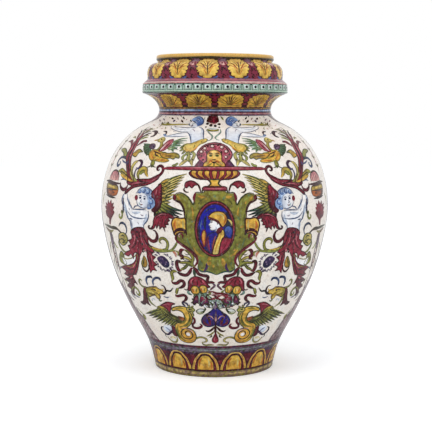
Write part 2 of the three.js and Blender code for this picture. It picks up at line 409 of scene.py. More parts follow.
def orange_peel(tree, shader):
    """The faint unevenness of a fired glaze, up to half a millimetre deep."""
    bump = add_node(tree, "ShaderNodeBump", {"Strength": 0.25, "Distance": 0.5 * MM})
    tree.links.new(noise_on_object(tree, 160, 3), bump.inputs["Height"])
    tree.links.new(bump.outputs["Normal"], shader.inputs["Normal"])


# %% The glaze over the clay
def tin_glaze(name):
    """Opaque glaze in the ring's own ground colour, with clouds, specks and a little iron."""
    material, tree, shader = new_material(name)
    ground = add_node(tree, "ShaderNodeAttribute", attribute_name="ground")
    colour = ground.outputs["Color"]
    clouds = ((22, 0.42, 0.66, (0.97, 0.93, 0.91)), (70, 0.5, 0.66, (0.93, 0.96, 1)),
              (260, 0.5, 0.66, (0.9, 0.87, 0.86)), (480, 0.52, 0.66, (0.86, 0.83, 0.81)))
    for scale, low, high, tint in clouds:
        share = remap(tree, noise_on_object(tree, scale, 3), low, high)
        colour = blend_colours(tree, share, colour, blend_colours(tree, 1.0, colour, tint, "MULTIPLY"))
    specks = remap(tree, noise_on_object(tree, 800, 1), 0.7, 0.76, 0, 0.6)
    colour = blend_colours(tree, specks, colour, (0.16, 0.08, 0.05))
    tree.links.new(colour, shader.inputs["Base Color"])
    orange_peel(tree, shader)
    return material


# %% The pigments in the glaze
def pigment_wash():
    """Brushed pigment: its point colour, clouded where it pooled and worn thin in places."""
    material, tree, shader = new_material("pigment_in_glaze")
    pigment = add_node(tree, "ShaderNodeAttribute", attribute_name="pigment")
    colour = pigment.outputs["Color"]
    pooled = remap(tree, noise_on_object(tree, 170, 4), 0.38, 0.62)
    clouded = blend_colours(tree, pooled, blend_colours(tree, 1.0, colour, (0.6, 0.55, 0.57), "MULTIPLY"),
                            blend_colours(tree, 1.0, colour, (1.13, 1.12, 1.1), "MULTIPLY"))
    paleness = add_node(tree, "ShaderNodeRGBToBW")
    tree.links.new(colour, paleness.inputs["Color"])
    colour = blend_colours(tree, remap(tree, paleness.outputs["Val"], 0.45, 0.7, 1, 0.3), colour, clouded)
    thin = remap(tree, noise_on_object(tree, 330, 4, (1, 1, 0.7)), 0.55, 0.85, 0, 0.15)
    colour = blend_colours(tree, thin, colour, tuple(COLOUR["white"] * 0.8))
    tree.links.new(colour, shader.inputs["Base Color"])
    orange_peel(tree, shader)
    return material


PIGMENT = pigment_wash()
print("materials:", [m.name for m in bpy.data.materials])

# %% [markdown]
# ## Where a brush mark lies
# A painter thinks on a flat sheet, so the ornament is planned flat, in millimetres. The round pot
# is unrolled without bending any angle: across, a millimetre is a millimetre at the belly, and
# the height is stretched by the same share wherever the pot is narrower. A rolled-back motif then
# keeps its shape, only smaller near the foot and the neck.

# %% Unroll the pot
def unrolled_heights(line, widest):
    """For each point of the line, its height on a sheet that keeps angles."""
    steps = np.linalg.norm(np.diff(line, axis=0), axis=1)
    radii = (line[1:, 0] + line[:-1, 0]) / 2
    return np.concatenate([[0], np.cumsum(steps * widest / radii)])


body_line = outside[: len(flare) + len(belly) + len(over_shoulder) + len(into_neck) + len(cavetto) - 4]
body_v = unrolled_heights(body_line, BELLY_R)
body_v -= np.interp(BELLY_Z, body_line[:, 1], body_v)
outside_s = np.concatenate([[0], np.cumsum(np.linalg.norm(np.diff(outside, axis=0), axis=1))])


def outward(line):
    """The unit normals of a line, pointing away from the clay, as (radius, height)."""
    along = np.gradient(line, axis=0)
    along /= np.linalg.norm(along, axis=1)[:, None]
    return np.stack([along[:, 1], -along[:, 0]], 1)


body_normals = outward(body_line)
outside_normals = outward(outside)


def on_line(at, table, line, normals, angle, lift):
    """Points on the pot, lifted off the glaze, from a place along a line and an angle round it."""
    r = np.interp(at, table, line[:, 0]) + lift * np.interp(at, table, normals[:, 0])
    z = np.interp(at, table, line[:, 1]) + lift * np.interp(at, table, normals[:, 1])
    return np.stack([r * np.sin(angle), -r * np.cos(angle), z], 1) * MM


def body_sheet(points, lift):
    """The body: across and up on the unrolled sheet, with the middle of the belly at 0, 0."""
    return on_line(points[:, 1], body_v, body_line, body_normals, points[:, 0] / BELLY_R, lift)


def ring_sheet(radius, start_z):
    """A moulding: across at a radius, and up along the outer line from a height."""
    start = float(np.interp(start_z, outside[:, 1], outside_s))

    def place(points, lift):
        at = points[:, 1] + start
        return on_line(at, outside_s, outside, outside_normals, points[:, 0] / radius, lift)
    return place


print("unrolled body, mm:", round(body_v[0]), "to", round(body_v[-1]))

# %% [markdown]
# ## Brushes
# Two marks make the whole painting. A wash is a closed outline filled with pigment: a constrained
# Delaunay triangulation fills it, with points inside so that the colour can change across it and
# darken at its edge. A stroke is a ribbon along a path, fine at its ends and full in its middle.
# Curve objects with a bevel could make strokes as well, but a ribbon lies flat on the glaze.

# %% A curve through points
def points_of(path):
    """Points as an array. A path in text is its first point, across and up, then step after step."""
    if isinstance(path, str):
        return np.cumsum(np.array(path.split(), float).reshape(-1, 2), axis=0).round(3)
    return np.array(path, float)


def smooth_path(path, closed=False, step=1.4):
    """A smooth curve through the points. A point given twice is a corner."""
    p = points_of(path)
    n = len(p)
    out = []
    for i in range(n if closed else n - 1):
        a, b = p[i], p[(i + 1) % n]
        before = p[(i - 1) % n] if closed or i else a
        after = p[(i + 2) % n] if closed or i + 2 < n else b
        length = float(np.hypot(*(b - a)))
        if length < 1e-6:
            continue
        count = max(2, int(math.ceil(length / step)))
        t = np.linspace(0, 1, count + 1)[:-1, None]
        ma = (b - before) * length / max(length + float(np.hypot(*(a - before))), 1e-6)
        mb = (after - a) * length / max(length + float(np.hypot(*(after - b))), 1e-6)
        out.append((2 * t**3 - 3 * t**2 + 1) * a + (t**3 - 2 * t**2 + t) * ma
                   + (3 * t**2 - 2 * t**3) * b + (t**3 - t**2) * mb)
    if not closed:
        out.append(p[-1:])
    return np.vstack(out)


def mix(first, second, share):
    """A colour between two, or an array of them."""
    share = np.asarray(share, float)[..., None]
    return COLOUR[first] * (1 - share) + COLOUR[second] * share


# %% A sheet of marks
LAYER_BASE = 0.06
LAYER_STEP = 0.045
MARK_STEP = 0.004
EDGE_DARKENING = 0.72
GRAIN = 2.6
FINE_LINE = 1.7


class Sheet:
    """A sheet of brush marks, planned flat. A mark of a higher layer lies over a lower one."""

    def __init__(self, seed=1):
        self.points, self.colours, self.lifts, self.faces = [], [], [], []
        self.count = 0
        self.random = random.Random(seed)

    def add(self, points, colours, faces, lift):
        """Keeps one mark."""
        self.points.append(np.asarray(points, float))
        self.colours.append(np.asarray(colours, float))
        self.lifts.append(np.full(len(points), lift + MARK_STEP * (len(self.points) % 10)))
        self.faces.extend([[i + self.count for i in f] for f in faces])
        self.count += len(points)

    def wash(self, outline, first, second=None, towards=(0, 1), layer=1, line=None, line_width=1.5,
             smooth=True):
        """Fills an outline with pigment that passes from one colour to a second."""
        edge = smooth_path(outline, True) if smooth else points_of(outline)
        span = float((edge.max(0) - edge.min(0)).max())
        gap = min(GRAIN, max(0.9, span / 7))
        low, high = edge.min(0), edge.max(0)
        inner = np.array([(x, y) for row, y in enumerate(np.arange(low[1] + gap / 2, high[1], gap * 0.87))
                          for x in np.arange(low[0] + (row % 2) * gap / 2, high[0], gap)]).reshape(-1, 2)
        if len(inner):
            distance = np.min(np.hypot(inner[:, None, 0] - edge[None, :, 0],
                                       inner[:, None, 1] - edge[None, :, 1]), axis=1)
            inner = inner[(distance > gap * 0.45) & inside_outline(inner, edge)]
        everything = np.vstack([edge, inner])
        found = delaunay_2d_cdt([Vector(p) for p in everything], [], [list(range(len(edge)))], 1, 1e-5)
        vertices = np.array([tuple(v) for v in found[0]])
        sources = found[3]
        on_edge = np.array([any(k < len(edge) for k in s) or not s for s in sources])
        way = np.array(towards, float)
        way /= np.hypot(*way)
        along = vertices @ way
        share = (along - along.min()) / max(float(np.ptp(along)), 1e-6)
        colour = mix(first, second or first, share)
        colour[on_edge] *= EDGE_DARKENING
        faces = [list(f) if signed_area(vertices[f]) > 0 else list(f)[::-1] for f in found[2]]
        self.add(vertices, colour, faces, LAYER_STEP * layer)
        if line:
            self.stroke(np.vstack([edge, edge[:1]]), line_width, line, layer + 1, taper=0, smooth=False)

    def stroke(self, path, width, first, layer=2, second=None, taper=0.35, smooth=True, end=None):
        """Draws a ribbon along a path, thin at its ends."""
        line = smooth_path(path) if smooth else points_of(path)
        steps = np.hypot(*np.diff(line, axis=0).T)
        s = np.concatenate([[0], np.cumsum(steps)])
        if s[-1] < 1e-6:
            return
        share = s / s[-1]
        along = np.gradient(line, axis=0)
        along /= np.maximum(np.hypot(along[:, 0], along[:, 1]), 1e-9)[:, None]
        side = np.stack([-along[:, 1], along[:, 0]], 1)
        full = width + ((end if end is not None else width) - width) * share
        if taper:
            full = full * (0.22 + 0.78 * np.minimum(1, np.minimum(share, 1 - share) / taper) ** 0.8)
        wobble = 1 + 0.1 * np.sin(s * 0.9 + self.random.random() * 6) * (width < 3)
        half = (full * wobble / 2)[:, None]
        colour = mix(first, second or first, share)
        rows = [(line + side * half, colour), (line - side * half, colour)]
        if width > FINE_LINE:
            dark = colour * EDGE_DARKENING
            rows = [(rows[0][0], dark), (line, colour), (rows[1][0], dark)]
        n = len(line)
        faces = [[r * n + i, (r + 1) * n + i, (r + 1) * n + i + 1, r * n + i + 1]
                 for r in range(len(rows) - 1) for i in range(n - 1)]
        self.add(np.vstack([p for p, _ in rows]), np.vstack([c for _, c in rows]), faces, LAYER_STEP * layer)

    def dot(self, x, y, radius, colour, layer=2, squash=1.0, sides=10):
        """A touch of the brush's tip."""
        a = np.linspace(0, 2 * math.pi, sides, endpoint=False)
        ring = np.stack([x + radius * np.cos(a), y + radius * squash * np.sin(a)], 1)
        points = np.vstack([ring, [(x, y)]])
        colours = np.vstack([np.repeat([COLOUR[colour] * 0.8], sides, 0), [COLOUR[colour]]])
        faces = [[i, (i + 1) % sides, sides] for i in range(sides)]
        self.add(points, colours, faces, LAYER_STEP * layer)

    def take(self, other, mirror=False):
        """Copies another sheet's marks onto this one, turned over about the leaning axis if asked."""
        for points, colours, lifts in zip(other.points, other.colours, other.lifts):
            self.points.append(turned_over(points) if mirror else points)
            self.colours.append(colours)
            self.lifts.append(lifts)
        self.faces.extend([[i + self.count for i in (f[::-1] if mirror else f)] for f in other.faces])
        self.count += other.count

    def lay(self, name, place):
        """Lays the sheet on the pot and returns it as an object."""
        points, lifts = np.vstack(self.points), np.concatenate(self.lifts)
        mesh = bpy.data.meshes.new(name)
        mesh.from_pydata(place(points, lifts + LAYER_BASE).tolist(), [], self.faces)
        colours = np.hstack([np.vstack(self.colours), np.ones((self.count, 1))]).astype(np.float32)
        pigment = mesh.attributes.new("pigment", "FLOAT_COLOR", "POINT")
        pigment.data.foreach_set("color", colours.ravel())
        mesh.polygons.foreach_set("use_smooth", [True] * len(mesh.polygons))
        mesh.materials.append(PIGMENT)
        return put_in_scene(name, mesh)


# %% The other side of the axis, and the inside of an outline
AXIS_LEAN = 7


def turned_over(points):
    """Points on the other side of the axis, which leans a little to the right below the middle."""
    axis = np.interp(points[:, 1], (-70, 60), (AXIS_LEAN, 0))
    return np.stack([axis - points[:, 0], points[:, 1]], 1)


def signed_area(corners):
    """Twice the area of a flat face, positive if it turns to the left."""
    x, y = corners[:, 0], corners[:, 1]
    return float(np.dot(x, np.roll(y, -1)) - np.dot(y, np.roll(x, -1)))


def inside_outline(points, edge):
    """Which points lie inside a closed outline."""
    x, y = points[:, 0][:, None], points[:, 1][:, None]
    x0, y0 = edge[:, 0][None], edge[:, 1][None]
    x1, y1 = np.roll(edge[:, 0], -1)[None], np.roll(edge[:, 1], -1)[None]
    crosses = ((y0 > y) != (y1 > y)) & (x < (x1 - x0) * (y - y0) / np.where(y1 == y0, 1e-9, y1 - y0) + x0)
    return crosses.sum(1) % 2 == 1


# %% Marks that come back often
def spiral(sheet, x, y, start, reach, turns, width, colour, layer=2, end=None, tail=()):
    """A scroll: a path that runs along a tail and winds in to a centre. Angles in degrees."""
    steps = max(6, int(abs(turns) * 14))
    a = np.radians(start) + np.linspace(0, 2 * math.pi * turns, steps)
    r = reach * (1 - 0.88 * np.linspace(0, 1, steps) ** 0.8)
    coil = [(x + k * math.cos(t), y + k * math.sin(t)) for k, t in zip(r, a)]
    sheet.stroke([*tail, *coil], width, colour, layer, second=end, taper=0.18)


def plume(sheet, start, tip, width, first, second=None, line="moss", layer=2, bow=0.08):
    """A pointed feather or a tooth of a leaf, bowed to its left."""
    start, tip = points_of(start).ravel(), points_of(tip).ravel()
    way = tip - start
    length = max(float(np.hypot(*way)), 1e-6)
    left = np.array([-way[1], way[0]]) / length
    sheet.wash([start + left * width * 0.4, start + way * 0.5 + left * (width * 0.5 + bow * length), tip, tip,
                start + way * 0.5 - left * (width * 0.5 - bow * length), start - left * width * 0.4],
               first, second, way, layer, line, 1.1)


def plumes(sheet, roots, tips, width, first, second=None, line="moss", layer=2, bow=0.08):
    """Feathers fanned from a root line to a row of tips."""
    roots, tips = smooth_path(roots, step=0.5), points_of(tips)
    for i, tip in enumerate(tips):
        start = roots[int(i / max(len(tips) - 1, 1) * (len(roots) - 1))]
        plume(sheet, start, tip, width, first, second, line, layer, bow)


# %% Mottling, outlines from one side, and wings
def mottle(sheet, outline, count, size, width, colours, layer=2):
    """Soft short touches of several colours, kept inside an outline."""
    edge = smooth_path(outline, True)
    draw, low, high = sheet.random, edge.min(0), edge.max(0)
    while count:
        at = np.array([[draw.uniform(low[0], high[0]), draw.uniform(low[1], high[1])]])
        way = draw.uniform(0, math.pi)
        reach = draw.uniform(0.5, 1) * size / 2 * np.array([math.cos(way), math.sin(way)])
        if inside_outline(np.vstack([at - 1.3 * reach, at + 1.3 * reach]), edge).all():
            sheet.stroke([at[0] - reach, at[0] + (0.3, 0.3), at[0] + reach], width * draw.uniform(0.6, 1),
                         draw.choice(colours), layer, colours[0], 0.5)
            count -= 1


def both_sides(path):
    """A closed outline from its left side, which runs from top to bottom."""
    left = points_of(path)
    return np.vstack([left, turned_over(left)[::-1]])


def wing(sheet, roots, tips, width, colours, second, line, bow, quill=None):
    """Long feathers in turn of several colours, each with a pale quill if asked."""
    (start, end), tips = points_of(roots), points_of(tips)
    for k, tip in enumerate(tips):
        root = start + k / (len(tips) - 1) * (end - start)
        plume(sheet, root, tip, width, colours[k % len(colours)], second, line, 2, bow)
        if quill:
            sheet.stroke([root, (root + tip) / 2 + (0, 1), tip], 1.4, quill, 4)


# %% [markdown]
# ## A list of marks
# A painting of more than a thousand marks would be as many calls. Instead they are written as a
# list in plain text, and one function reads it. Before a colon stand the brush, the pigment and
# the layer, and after it the paths. A bare number is a stroke as wide as that, "dot" a touch, "wash"
# a filled outline, "coil" a scroll round a point and "fan" a row of feathers from a root line.

# %% Read a list of marks
def paint(sheet, marks):
    """Paints the marks of a list. A semicolon parts the marks and a slash the paths of one mark.

    Two pigments with > between them run into each other, and "moss+2" lays an edge under a
    stroke, in all 2 mm wider. t is the share of a stroke that tapers, e its width at the end,
    and @ the way in which a wash changes. "both" repeats a mark over the axis, and "whole"
    closes an outline from its left side. A mark that names no layer goes on with all that
    followed the pigment in the mark before it.
    """
    rest = []
    for mark in marks.split(";"):
        head, paths = mark.split(":")
        words = head.split()
        both, whole = words[0] == "both", words[0] == "whole"
        kind, *words = words[both or whole:]
        size = float(words.pop(0) if kind in ("dot", "coil", "fan") else kind) if kind != "wash" else 0
        first, _, second = words[0].partition(">")
        rest = words[1:] or rest
        layer = int(rest[0])
        edge = [word.split("+") for word in rest if "+" in word]
        words = [word for word in rest[1:] if "+" not in word]
        coded = {word[0]: word[1:] for word in words if word[0] in "@te" and not word.isalpha()}
        plain = [word for word in words if word[0] not in coded or word.isalpha()]
        lines = [points_of(path) for path in paths.split("/")]
        if kind == "fan":
            plumes(sheet, *lines, size, first, second, plain[0], layer, *map(float, plain[1:]))
            continue
        for line in (turn for left in lines for turn in (left, turned_over(left))[:1 + both]):
            brushes = [(size + float(wider), pigment, layer - 1, None) for pigment, wider in edge]
            brushes.append((size, first, layer, second))
            if kind == "wash":
                way = np.array(coded.get("@", "0,1").split(","), float)
                if whole:
                    line = both_sides(line)
                sheet.wash(line, first, second, way, layer, *plain[:1], *map(float, plain[1:]))
            elif kind == "dot":
                sheet.dot(*line[0], size, first, layer, *map(float, plain))
            elif kind == "coil":
                for brush in brushes:
                    spiral(sheet, *map(float, (*plain[0].split(","), *plain[1:])), *brush, tail=line)
            else:
                for width, *pigment in brushes:
                    sheet.stroke(line, width, *pigment, float(coded.get("t", 0.35)),
                                 end=float(coded.get("e", width)))

# %% [markdown]
# ## The seven luted rings
# The rings follow the CAD joint for joint, only rounder, and each takes the place of its CAD node.
# The foot ring stands on bare clay, the inside is glazed a plain white, and every moulding has
# the ground colour that the painter laid on it before the ornament, save the groove under the lip,
# which is dark brown as painted shade.

# %% Sections of the rings
FLOOR_Z = FOOT_TOP + 5
RECESS_Z = 5
STAND_R = FOOT_R - 15
FLOOR_R = FOOT_R - 7.5
band_start = len(body_line)
body_outer = outside[:band_start]
fillet_start = band_start + len(band_face)
lip_start = len(outside) - 12


def wall_ring(low, high, outer=None):
    """A ring's section: up its outer line, then down the inner wall."""
    return cut(body_outer, low, high) if outer is None else outer.tolist(), cut(inside, low, high)[::-1]


rings = {
    "foot": ([(STAND_R - 2, RECESS_Z), (STAND_R, 0.4), (STAND_R + 0.4, 0), (FOOT_R - 1.2, 0),
              (FOOT_R - 0.3, 0.4), *cut(body_outer, 1.2, FOOT_TOP)],
             [(FLOOR_R, FOOT_TOP), (FLOOR_R, FLOOR_Z)]),
    "lower_body": (cut(body_outer, FOOT_TOP, BELLY_Z),
                   [*cut(inside, FLOOR_Z, BELLY_Z)[::-1], (FLOOR_R, FLOOR_Z), (FLOOR_R, FOOT_TOP)]),
    "shoulder": wall_ring(BELLY_Z, SHOULDER_TOP),
    "neck": wall_ring(SHOULDER_TOP, NECK_TOP),
    "mouth_band": wall_ring(NECK_TOP, BAND_TOP, outside[band_start - 1:fillet_start]),
    "collar": wall_ring(BAND_TOP, COLLAR_TOP, outside[fillet_start - 1:lip_start]),
    "lip": (outside[lip_start - 1:].tolist(),
            [*lip_arc(lip_bore + LIP_ROUND, 90, 180).tolist(), (lip_bore, COLLAR_TOP)]),
}
print({name: len(outer) + len(inner) for name, (outer, inner) in rings.items()})

# %% Dip and turn them
CLAY = linear("#b98a64")
INSIDE = linear("#d9d2c4")
FILLET_PINK = linear("#dfa2a8")
# The groove and the underside of the lip are dark brown: painted shade where the lip overhangs.
GROOVE_PAINTED_SHADE = linear("#4a3426")
GROUNDS = {
    "foot": "#a08848", "lower_body": "#ebe5dc", "shoulder": "#efe9e1", "neck": "#7c2b38",
    "mouth_band": "#a9c2b0", "collar": "#7d2c40", "lip": "#d6ad5e",
}
SLOTS = {
    "foot": "foot_glaze", "lower_body": "body_glaze", "shoulder": "body_glaze", "neck": "neck_glaze",
    "mouth_band": "band_glaze", "collar": "collar_glaze", "lip": "lip_glaze",
}


def ground_of(name, z):
    """The colour under the ornament at a height of a ring's outer line, with dark brown painted shade in the
    groove under the lip.
    """
    if name == "foot" and z < 1:
        return CLAY
    if name == "collar" and z < fillet_z - 0.1:
        return FILLET_PINK
    # painted shade: dark brown in the groove and under the lip
    if name == "collar" and z > groove_z - 0.4 or name == "lip" and z < COLLAR_TOP + 2.9:
        return GROOVE_PAINTED_SHADE
    return linear(GROUNDS[name])


glazes = {slot: tin_glaze(slot) for slot in dict.fromkeys(SLOTS.values())}
for name, (outer, inner) in rings.items():
    section = [*outer, *inner]
    if name == "foot":
        section = [(0, RECESS_Z), *section, (0, FLOOR_Z)]
    colours = [ground_of(name, z) for _, z in outer] + [INSIDE] * len(inner)
    if name == "foot":
        colours = [CLAY, *colours, INSIDE]
    ring = turn_ring(name + "_ring", section, [(*c, 1) for c in colours], glazes[SLOTS[name]])
    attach(ring, "root")
    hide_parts(name)

# %% [markdown]
# ## The grotesques
# The white body carries grotesques: an old play of figures, beasts, scrolls and leaves, hung on
# one upright axis and mirrored to each side. The painter pounced one half through a pricked sheet,
# turned the sheet over and pounced it again. Here one half is planned in millimetres on the
# unrolled pot, drawn once and mirrored. The axis leans a little, as it does on the pot.

# %% A sheet for one half
half = Sheet(3)


def add_motif(sheet, motif):
    """Draws a motif on a sheet and tells how many marks it took."""
    before = len(sheet.points)
    motif(sheet)
    print(motif.__name__ + ":", len(sheet.points) - before, "marks")


# %% The trumpeters under the neck
def trumpeter(s):
    """A winged child who blows a long horn, in slate outline with blue shadows."""
    paint(s, """
    wash white>mist 1 @-.4,-1: -58 176 8 2 10 2 8 -4 6 -8 3 -8 1 -10 1 -10 1 -8 -10 -6 -14 -4 -2 10 -5 10
      -9 12 -2 10;
    wash white>body 2 @1,0: -46 175 -14 -1 -12 0 -14 2 -12 -.5 -8 6.5 -5 -2 3 -8 14 -9 16 -6 18 0;
    wash white>mist 1 @-1,0: -56 156 -9 -2 -19 -5 -15 -6 -9 3 0 -5 9 -2 21 1 22 3;
    4.4 mist>body 3: -38 176 8 -7 3 -9 0 -12 3 -12 / -66 166 -16 0 -12 4 -10 6 / -49 149 1 -9 4 -10;
    wash sky>blue 4 @1,-.6: -67 211 2 8 6 6 9 2.5 8 -2.5 6 -6 4 -9 1 -10 -1 -9 -4 -8 -5 -2 -4 7 -5 9 -5 7
      -5 4; 3 slate 6: -60 224 9 4 9 -2 7 -7 4 -9 1 -10 -1 -9 -4 -7 / -66 211 6 -4 6 -6 4 -7;
    2.6 blue 5: -58 220 9 1 7 -7 4 -10 -1 -10 / -62 214 8 -3 7 -8 4 -11 / -52 216 7 -7 4 -9;
    1.8 mist: -55 218 8 -3 5 -8 / -58 211 8 -7 4 -8;
    wash white>mist 3 @1,-.4: -63 209 -2 -8 -2 -8 2 -6 7 -6 5 -5 7 -1 5 3 -2 8 -5 9 -5 8 -5 5;
    4 teal>ink 5: -72 214 4 -6 5 -5; 2 slate: -65 202 -2.5 -7 1.5 -7 5 -6 6 -5;
    dot 2.4 teal 6 .9: -65 189; 2 ink 5: -61 197 4 -1; dot 3 mauve 4: -56 184;
    2.4 sea: -50 200 -6 -8 -2 -8;
    2.6 slate 5: -37 178 6 -5 5 -7 2 -8 1 -10 1 -10 2 -7 / -62 156 7 -5 5 -8 4 -11 2 -8 / -44 174 -16 -1
      -14 .5 -14 2 -10 -.5;
    1.8 slate: -58 157 -18 -.5 -16 5.5 -15 9 -3 8 / -60 154 -14 -2 -14 -5 -13 -5 / -56 143 -20 -2.4 -23
      -1; 1.6 mauve: -52 168 6 -5 2 -6; 5 slate>sky 4: -113 147 5 -2 5 -3;
    4 brown>wine 5: -119 158 7 -1 4 -5 2 -6;
    4.4 straw>olive 3 t.15 e10: -68 190 -16 0 -16 -1 -18 -2 -16 0 -16 -1;
    1.8 olive 4: -66 192 -24 -.5 -22 -1.5 -22 4 -18 7 / -66 187.6 -24 -1.6 -22 -2 -24 -3;
    1.8 leaf 3: -118 186 -14 0 -14 -2 / -124 191 -12 2 -10 3; 4.6 brown>olive 4: -164 201 7 -7 7 -7 3 -12;
    3 olive: -154 202 5 -9 6 -7""")


add_motif(half, trumpeter)


# %% Loose touches near the neck
def sprigs(s):
    """Loose touches that fill the white near the neck."""
    paint(s, """
    5 black 2 t.45: -102 227 6 -6 6 -5; 6 brown: -101 214 6 -7 8 -8 / -143 223 7 -5 6 -2;
    8 purple: -127 212 5 -5 1 -6; 4 moss: -143 203 6 -5 5 -2; 2.4 slate: -104 182 6 -4 5 -4;
    9 wine: -154 156 10 1 8 -6 1 -8 -8 -5; 4 ink: -152 127 5 .5 5 -2.5; 3 maroon: -122 223 6 -4 5 -6;
    4 mauve: -182 218 10 -4 10 -6; 4.4 maroon: -198 214 12 -7 10 -4; 3 shell: -189 187 11 -5 8 -2;
    3.4 moss: -116 234 6 -4 4 -5; 3.4 leaf: -178 170 8 -4 8 0; 2.4 leaf: -128 176 6 -6 2 -6;
    dot 2 maroon 2: -84 214; dot 2.2 shell: -132 168; dot 1.6 slate: -128 150; dot 2.2 leaf: -150 170;
    dot 1.4 mauve: -92 158; dot 2.4 moss: -176 226; dot 2.2 leaf: -152 222; dot 1.8 pink: -112 205;
    dot 2 shell: -160 188""")


add_motif(half, sprigs)


# %% The goat's haunch
def haunch(s):
    """A goat-legged seat of yellow fur for the trumpeter."""
    paint(s, """
    wash straw>yellow 2 @.5,-1 olive 1.7: -44 123.5 9 4.5 9 5.5 7 2.5 5 -2 -1 -5 -5 -4 -6 -3.5 -4 -4.5 -4
      -7 -5 -5 -7 -1.5 -7 2.5 -4.5 5 -1.5 6 3 4 6 2; 4.4 yellow>ochre 3 t.5: -54 117 4 -8 8 -3 6 5;
    3.4 ochre>yellow: -42 121 8 4 9 5 7 3; 3.4 ochre>orange: -30 119 -3 -6 -4 -5;
    4 leaf>olive: -50 122 -7 -4 -1 -8; 1.6 olive 4: -38 122 2 -5 -3 -5 / -24 131 -1 -4 3 -3;
    fan 3.4 olive>leaf 3 moss: -57 117 0 -5 4 -5 6 -3 / -63 112 1 -6 5 -6 5 -3;
    fan 3.4 leaf>straw: -46 105 6 0 / -42 97 8 4;
    4.6 leaf>straw 5 t.2 moss+1.4: -46 104 2 -7 -1 -6 -5 -5 -8 -7;
    4.4 leaf>straw: -39 105 4.5 -5 -1 -7 -2.5 -6 2 -8; 3.4 leaf>leaf: -50 100 -4 -6 2 -6;
    3 leaf>olive: -41 97 -2 -6 3 -6; 3 leaf>leaf: -60 84 -4 -4 -6 -1;
    dot 1.5 moss 6: -46 98 / -40 100 / -47 90 / -36.5 90""")


add_motif(half, haunch)


# %% The bird
def bird(s):
    """A bird with a dragon's wings and a leafy tail."""
    paint(s, """
    wash moss>green 1 @-.2,1: -144 117 8 3.5 8 -1.5 6 -8 3 -8 0 -7 -8 1 -8 5 -6 7;
    fan 4 green>moss 2 moss: -134 118 4 -8 6 -8 / -147 120 2 -6 5 -6 6 -6 8 -7;
    wash wine>mauve 3 @1,-.6 brown 1.2: -130 118 6 3 7 -2 3 -7 -3 -3.5 -6 1.5 -5 3;
    2.6 black>purple 4: -124 116 5 -1 3 -4; 2.6 shell: -117 107 -3 -4 -1 -4;
    wash leaf>body 2 @.8,1: -82 130 10 0 6 -6 0 -8 -6 -7 -10 -1 -6 4 2 10;
    fan 2.6 leaf>moss 3 green: -80 126 2 -5 0 -5 0 -6 / -53 137 0 -7 -4 -6 -3 -7 -6 -8 -7 -5;
    1.8 green 4: -86 114 10 8 12 8 / -86 110 10 6 12 5 / -84 107 8 3 8 4;
    wash crimson>pink 5 @.8,-.4 maroon 1.2: -82 133 -8 -2 -5 -6 -4 -10 -4 -10 6 0 7 3 5 7 4 9;
    2.6 white>shell 6: -100 106 5 10 5 10; 2.4 maroon: -94 109 6 9 4 9;
    wash straw>olive 4 @0,-1 olive: -114 126 -2 5 4 5 5 2 5 -3 2 -6 -2 -5 3 -6 -1 -7 -4 -5 -4 1 3 6 0 6
      -3 6;
    wash yellow>ochre 4 @-1,0 olive: -120 103 3 4 7 1 6 -1 6 -3 6 -1 6 -1 0 -6 -6 -4 -8 -2 -4 -2 -5 -2 -6
      3 -5 7; wash yellow>ochre 5 @1,0 olive 1.3: -110 97 10 -3 8 -1 9 -2 6 -4 -7 -2.5 -12 .5 -10 3;
    wash ochre>olive 6 @1,0 moss 1.3: -98 100 8 2 8 -1 8 1.5 8 -1 6 -4.5 0 -5 -6 1 -4 -3 -6 2 -8 -1 -8 3;
    2.4 brown 7: -114 105 6 -2 6 -2 5 -2 / -110 103 5 -6 7 -2;
    1.8 orange: -115 99 5 -7 6 -1 / -102 88 10 0 8 0; 1.2 brown: -90 98 10 -1 8 1 / -86 94 8 1 8 1 6 -2;
    3.4 olive>ochre 4: -113 132 -6 -2 -6 -2; 3 wine>slate: -119 156 7 0 5 -5 -3 -7;
    dot 1.7 black 7: -109 132.5; wash leaf>olive 4 moss 1.1: -109 87 5 -1 1 -6 -3 -5 -4 4;
    1.8 moss 5: -107 80 4 -4 5 -1 / -107 80 -4 -4 -6 -2 / -107 79 0 -5""")


add_motif(half, bird)


# %% The shelf
def shelf(s):
    """The shelf under the mask ends in a scroll and grows into a thick bough."""
    paint(s, """
    wash crimson>maroon 2 @-1,-.4 wine 1.7: -88 64 -2 -7 -8 -6 -12 -5 -14 -2.5 -12 -3 -8 -4.5 -9 -6 -2 3
      6 5 8 5 -10 3 -3 3.5 13 2 11 2.5 12 1 12 1 9 4;
    coil 5 maroon>wine 3 -91.5,72.5 0 7.4 .95: -104 54 9 3 7 6 3.5 5;
    1.8 pink 4: -92 58 -14 -7 -18 -2 -16 -2; 1.8 wine: -100 53 -16 -5 -18 -3 -12 -5""")


add_motif(half, shelf)


